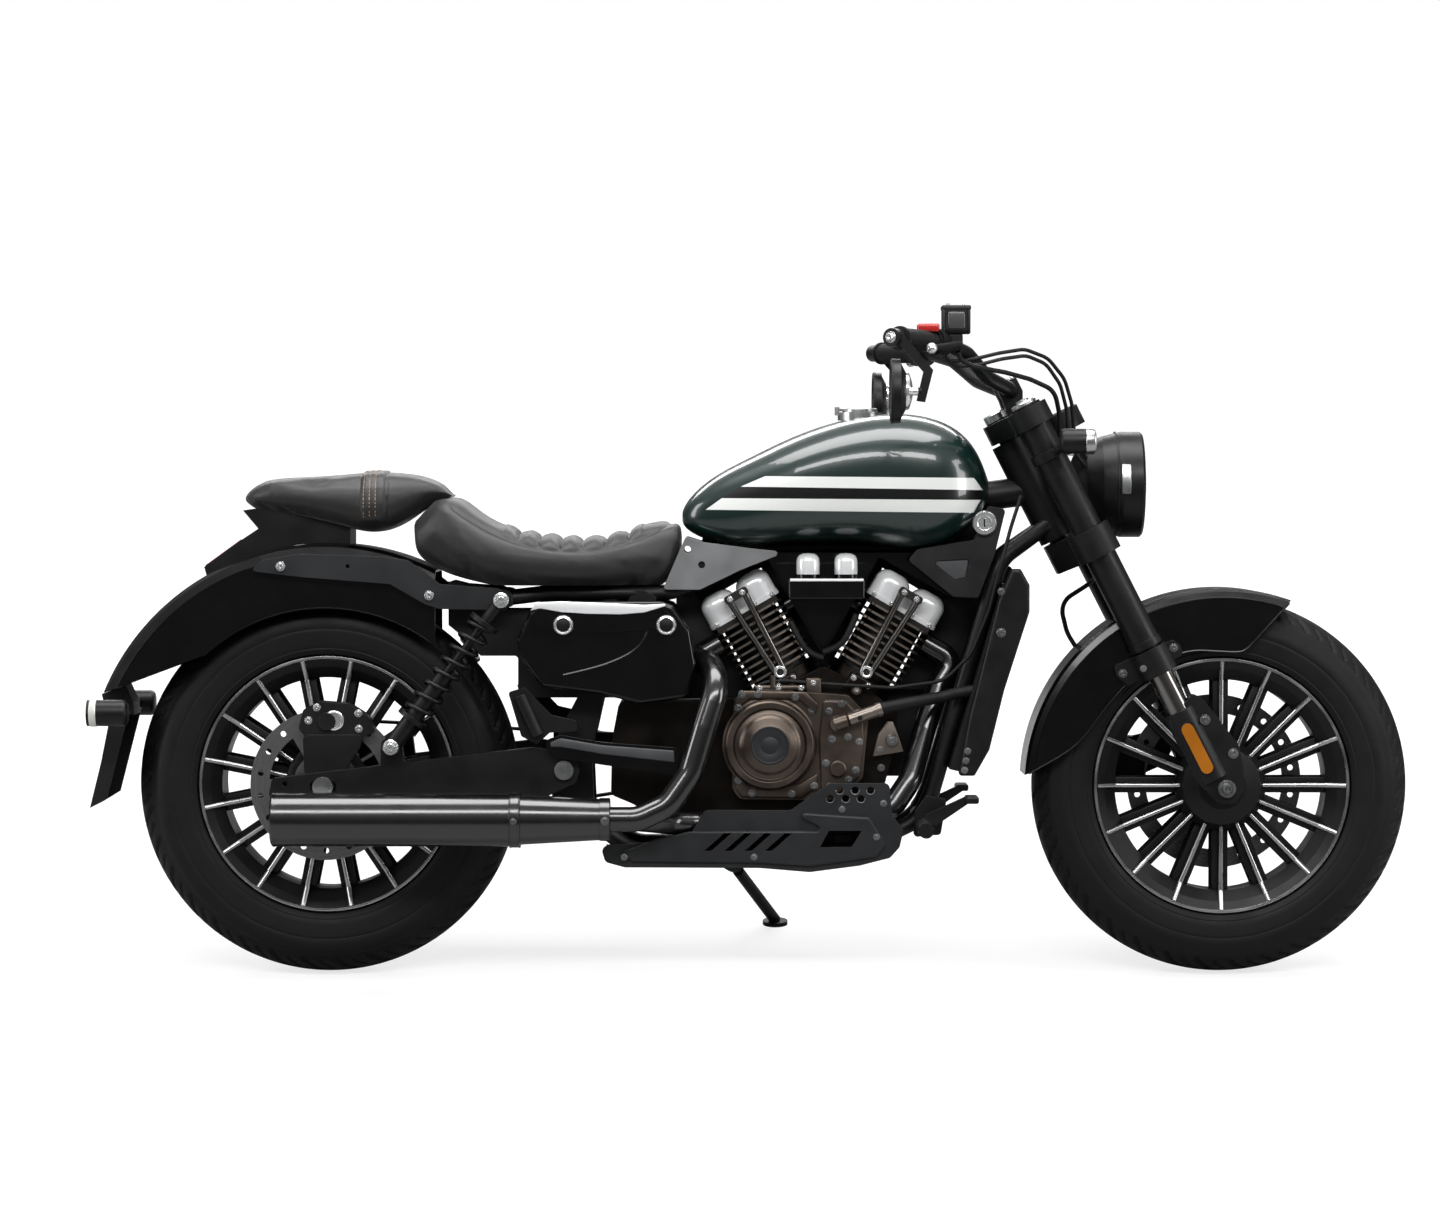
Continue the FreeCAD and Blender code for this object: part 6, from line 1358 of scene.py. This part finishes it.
# %% Head lamp trim and indicator ends
LAMP = facing_ahead(0, 0, 832)
bm = bmesh.new()
arc_band(bm, [(89.6, 1340.0), (90.6, 1340.4), (90.6, 1342.4), (89.6, 1342.8)], LAMP, 0, 360, 96)
for start in (80, -112):
    arc_band(bm, [(89.7, 1346), (90.7, 1347), (90.7, 1361), (89.7, 1362)], LAMP, start, start + 32, 18, mat=1)
piece_from("lamp_trim", bm, "steering", [SATIN_BLACK, SILVER])
bm = bmesh.new()
for side in (-1, 1):
    place = facing_ahead(1277, 176 * side, 904)
    turned(bm, [(21.2, 0), (22.0, 0.8), (22.0, 13.5), (20.6, 15.6), (18.0, 15.8)], place, 48)
    turned(bm, [(18.2, 15.4), (14.0, 17.6), (7.0, 18.6), (0, 18.9)], place, 48, mat=1)
piece_from("front_indicator_ends", bm, "steering", [SILVER, LENS_WHITE])

# %% [markdown]
# Amber reflectors with round ends sit on carriers beside the fork legs. A cube whose four corners are
# bevelled by nearly half its width gives that capsule shape. The sliding tubes are bare polished steel between
# the fender clamp and the axle casting, so a bright sleeve is laid over each.

# %% Fork reflectors and bare tubes
bm = bmesh.new()
for side in (-1, 1):
    for width, length, y_mid, thick, mat in ((21, 92, 138.8, 5.5, 0), (27, 100, 136.9, 3.8, 1)):
        loose = bmesh.new()
        bmesh.ops.create_cube(loose, size=1.0, matrix=Matrix.Diagonal((width, thick, length, 1.0)))
        corners = [e for e in loose.edges if abs(e.verts[0].co.y - e.verts[1].co.y) > 1.0]
        bmesh.ops.bevel(loose, geom=corners, offset=width * 0.49, segments=8, affect="EDGES", profile=0.5,
                        material=-1)
        pour(bm, loose, FORK @ Matrix.Translation((-14.5, y_mid * side, 84)), mat)
piece_from("fork_reflectors", bm, "steering", [AMBER, SATIN_BLACK])
bm = bmesh.new()
for side in (-1, 1):
    bar(bm, FORK @ Vector((TUBE_X, TUBE_Y * side, 152)), FORK @ Vector((TUBE_X, TUBE_Y * side, 222)), 20.9,
        steps=40)
piece_from("bare_stanchions", bm, "steering", DARK_CHROME)

# %% [markdown]
# Bolts hold the fender's tabs and the axle castings, and the lock sits in the head plate as a turned ring
# with a slot, beside a small inset of paler paint.

# %% Fork bolts and lock
bm = bmesh.new()
for side in BOTH_SIDES:
    for x, z, y, size in ((20, 120, -128, 12), (37, 48, -128, 12), (30, 250, -98, 10), (-66, 250, -98, 10),
                          (0, 0, -134, 18), (-34, 245, -137, 8)):
        hex_bolt(bm, FORK @ side(x, y, z), size)
piece_from("fork_bolts", bm, "steering", ZINC)
bm = bmesh.new()
turned(bm, [(20.5, -6.0), (20.5, 5.0), (18.5, 7.5), (13.0, 7.5), (11.5, 5.6), (0, 5.6)],
       facing_right(1114, -88, 767), 48)
block(bm, (1112.6, -94.2, 760), (1115.4, -93.0, 774), 0.3, mat=1)
for y_back, y_face in ((-80.8, -82.4), (80.8, 82.4)):
    plate(bm, [(1026, 701), (1064, 671), (1082, 675), (1087, 704)], y_back, y_face, 0.4, mat=2)
piece_from("head_lock", bm, "chassis", [CHROME, SATIN_BLACK, PALE_CAST])

# %% [markdown]
# A fender's crown meets its skirts in a pressed bead. The real one is rolled from the inside. Here a small
# raised section is swept round the wheel's axis on both flanks, and a second bead follows the lower edge as
# a thin hose, because that edge is no circle.

# %% Front fender's beads
def fender_beads(bm, centre, radius, half_w, start, end):
    """A raised bead on both flanks of a fender, between two angles round its wheel's axis."""
    section = [(radius - 1.6, half_w - 0.6), (radius - 0.8, half_w + 0.9), (radius + 0.8, half_w + 0.9),
               (radius + 1.6, half_w - 0.6)]
    for mirror in (1, -1):
        outline = [(r, h * mirror) for r, h in section]
        arc_band(bm, outline, across(centre[0], 0, centre[1]), -end, -start, 72)


bm = bmesh.new()
fender_beads(bm, FRONT_HUB, 320.0, 78.0, 73, 173)
LOWER_EDGE = [(111, 311), (75, 272), (40, 233), (26, 227.5), (-10, 229.5), (-58, 232), (-112, 212),
              (-160, 181), (-205, 128), (-243, 74), (-288, 44), (-330, 22)]
for side in (-1, 1):
    hose(bm, [(WHEELBASE + x, 78.2 * side, FRONT_R + z) for x, z in LOWER_EDGE], 1.8)
piece_from("front_fender_beads", bm, "steering", GLOSS_BLACK)

# %% [markdown]
# Amidships the side covers have two bright-ringed screws and a soft crease. A pale plate along the top is a
# painted highlight, where the cover's upper curve mirrors the overhead lamp, and the pivot cover below has a
# lighter face.
# The crease is a bead along a curve, which is quicker to place than a cut in the panel. The highlight plate and
# the face are plates with an outline read from the side.

# %% Side cover rings, crease, painted highlight plates and pivot covers
bm = bmesh.new()
for side in BOTH_SIDES:
    for x in (404, 577):
        turned(bm, [(11.4, 0), (11.4, 4.4), (12.6, 5.8), (15.2, 4.8), (16.6, 2.0), (17.0, -1.0)],
               side(x, -149, 596), 40)
        turned(bm, [(11.0, 3.9), (7.0, 5.0), (0, 5.6)], side(x, -149, 596), 40, mat=1)
piece_from("side_cover_screws", bm, "chassis", [CHROME, SATIN_BLACK])
bm = bmesh.new()
CREASE = [(549, 592), (541, 572), (520, 550), (482, 532), (440, 520), (404, 512)]
for side in (-1, 1):
    hose(bm, [(x, 145.2 * side, z) for x, z in CREASE], 2.4)
piece_from("side_cover_crease", bm, "chassis", GLOSS_BLACK)
bm = bmesh.new()
# A pale plate along each cover's top: a painted highlight of the overhead lamp.
SIDE_COVER_HIGHLIGHT = [(349, 620), (357, 634), (400, 636), (480, 633), (540, 630), (575, 632), (576, 628), (540, 617),
        (500, 614), (440, 615), (400, 618), (365, 624)]
for side in (-1, 1):
    plate(bm, SIDE_COVER_HIGHLIGHT, 147 * side, 152 * side)
piece_from("side_cover_painted_highlights", bm, "chassis", PAINTED_WHITE_COVER)
bm = bmesh.new()
FACE = [(383, 400), (400, 407), (470, 395), (590, 386), (591, 366), (470, 380), (400, 392), (383, 392)]
for side in (-1, 1):
    plate(bm, FACE, 158 * side, 162 * side)
piece_from("pivot_cover_faces", bm, "chassis", PALE_CAST)

# %% [markdown]
# The belly pan's vents are punched, and their lower lips are turned out and bare. Only the lips catch the
# light, so a short sweep of a small outline is enough for each.

# %% Belly pan lips and bolts
bm = bmesh.new()
for row, z in enumerate((318, 304)):
    for i in range(3):
        arc_band(bm, [(6.0, -0.4), (6.2, 1.2), (7.6, 1.0), (8.0, -0.4)],
                 facing_right(868 - row * 16 + i * 26, -140, z), 175, 365, 20)
for x, z, y in ((872, 286, -140), (942, 296, -140), (506, 206, -146), (724, 206, -146), (930, 240, -146)):
    hex_bolt(bm, facing_right(x, y, z), 8.0)
piece_from("belly_pan_lips", bm, "chassis", ZINC)

# %% [markdown]
# Towards the rear, the shocks hang on studs with bright nuts, the struts are bolted to the fender, and the
# caliper has its own bolts. Both sides share one loop, since only the caliper is on the right alone.

# %% Strut, shock and caliper bolts
bm = bmesh.new()
for side in BOTH_SIDES:
    for x, z in ((301, 638), (116, 392)):
        turned(bm, [(13.0, 0), (13.0, 2.0), (12.0, 3.0), (9.0, 3.0)], side(x, -171.2, z), 36)
        hex_bolt(bm, side(x, -173.5, z), 14.0)
    for x, z in ((-73, 694), (177, 645)):
        hex_bolt(bm, side(x, -118, z), 11.0)
for x, z in ((-13, 456), (-27, 434), (57, 446), (58, 420)):
    hex_bolt(bm, facing_right(x, -112, z), 9.0)
turned(bm, [(17.0, -1.0), (17.0, 2.4), (15.4, 3.4), (12.0, 3.4), (10.8, 1.6), (0, 1.6)],
       facing_right(16, -112, 434), 36)
piece_from("rear_bolts", bm, "chassis", CHROME)

# %% [markdown]
# The silencer is rolled from sheet, with a bead where its end cap is seamed on. In front the header is
# clamped into it between two more beads. All of them are turned about the pipe's own line.

# %% Silencer clamp and header bolts
PIPE_Z = 273.0
PIPE_Y = -195.0
bm = bmesh.new()
for x in (315.5, 331.0):
    turned(bm, [(44.8, 0), (47.6, 0.8), (48.2, 2.0), (47.6, 3.2), (44.8, 4.0)],
           facing_ahead(x, PIPE_Y, PIPE_Z), 72)
turned(bm, [(44.0, 0), (45.6, 1.5), (45.6, 5.5), (44.2, 7.5)], facing_ahead(-80, PIPE_Y, PIPE_Z), 72)
turned(bm, [(34.4, 0), (36.0, 0.6), (36.0, 17.0), (34.0, 18.0), (22.0, 18.0)],
       facing_ahead(466, PIPE_Y, PIPE_Z), 56)
piece_from("silencer_beads", bm, "chassis", PIPE_BLACK)
bm = bmesh.new()
for x, y, z, size in ((476, -230.6, 273, 10), (324, -242.6, 273, 8)):
    hex_bolt(bm, facing_right(x, y, z), size)
piece_from("silencer_bolts", bm, "chassis", ZINC)

# %% [markdown]
# Last come the lamps at the back: a slim red lens across the tail under the pillion pad, and the milky lens
# of each indicator. The tail lens is a plate seen from its side and drawn out across the tail. The fender's
# flanks have the same pressed bead as the front one.

# %% Tail lens, indicator lenses and fender beads
bm = bmesh.new()
plate(bm, [(-207.0, 693.2), (-146.4, 737.2), (-147.4, 738.6), (-208.4, 694.4)], -44, 44, 0.4)
piece_from("tail_lens", bm, "chassis", TAIL_RED)
bm = bmesh.new()
for side in (-1, 1):
    turned(bm, [(22.2, 0), (22.9, 0.8), (22.9, 10.0), (21.4, 12.6), (18.6, 14.4), (11.0, 16.6), (0, 17.4)],
           facing_back(-374, 180 * side, 450), 48)
piece_from("rear_indicator_lenses", bm, "chassis", LENS_WHITE)
bm = bmesh.new()
fender_beads(bm, REAR_HUB, 388.0, 98.0, 109, 154)
fender_beads(bm, REAR_HUB, 299.4, 98.0, 54, 133)
piece_from("rear_fender_beads", bm, "chassis", GLOSS_BLACK)

# %% [markdown]
# Seen from the front the radiator shows its core: rows of thin fins between the tanks. Every fin would be
# thousands of faces for something read as a texture, so a bar for every fifth fin stands for them.

# %% Radiator core
CORE_TOP = (1142.0, 704.0)
CORE_SLOPE = 0.2924
CORE_BARS = 38


def core_x(z):
    """The radiator's rear face leans back towards the bottom."""
    return CORE_TOP[0] - CORE_SLOPE * (CORE_TOP[1] - z)


bm = bmesh.new()
for i in range(CORE_BARS):
    z = 356.0 + i * 7.6
    block(bm, (core_x(z) + 51.0, -103.0, z), (core_x(z) + 53.2, 103.0, z + 1.6))
for y in range(-96, 97, 16):
    bar(bm, (core_x(352.0) + 52.0, y, 352.0), (core_x(644.0) + 52.0, y, 644.0), 1.6, steps=8)
piece_from("radiator_core_bars", bm, "chassis", CAST_GREY)
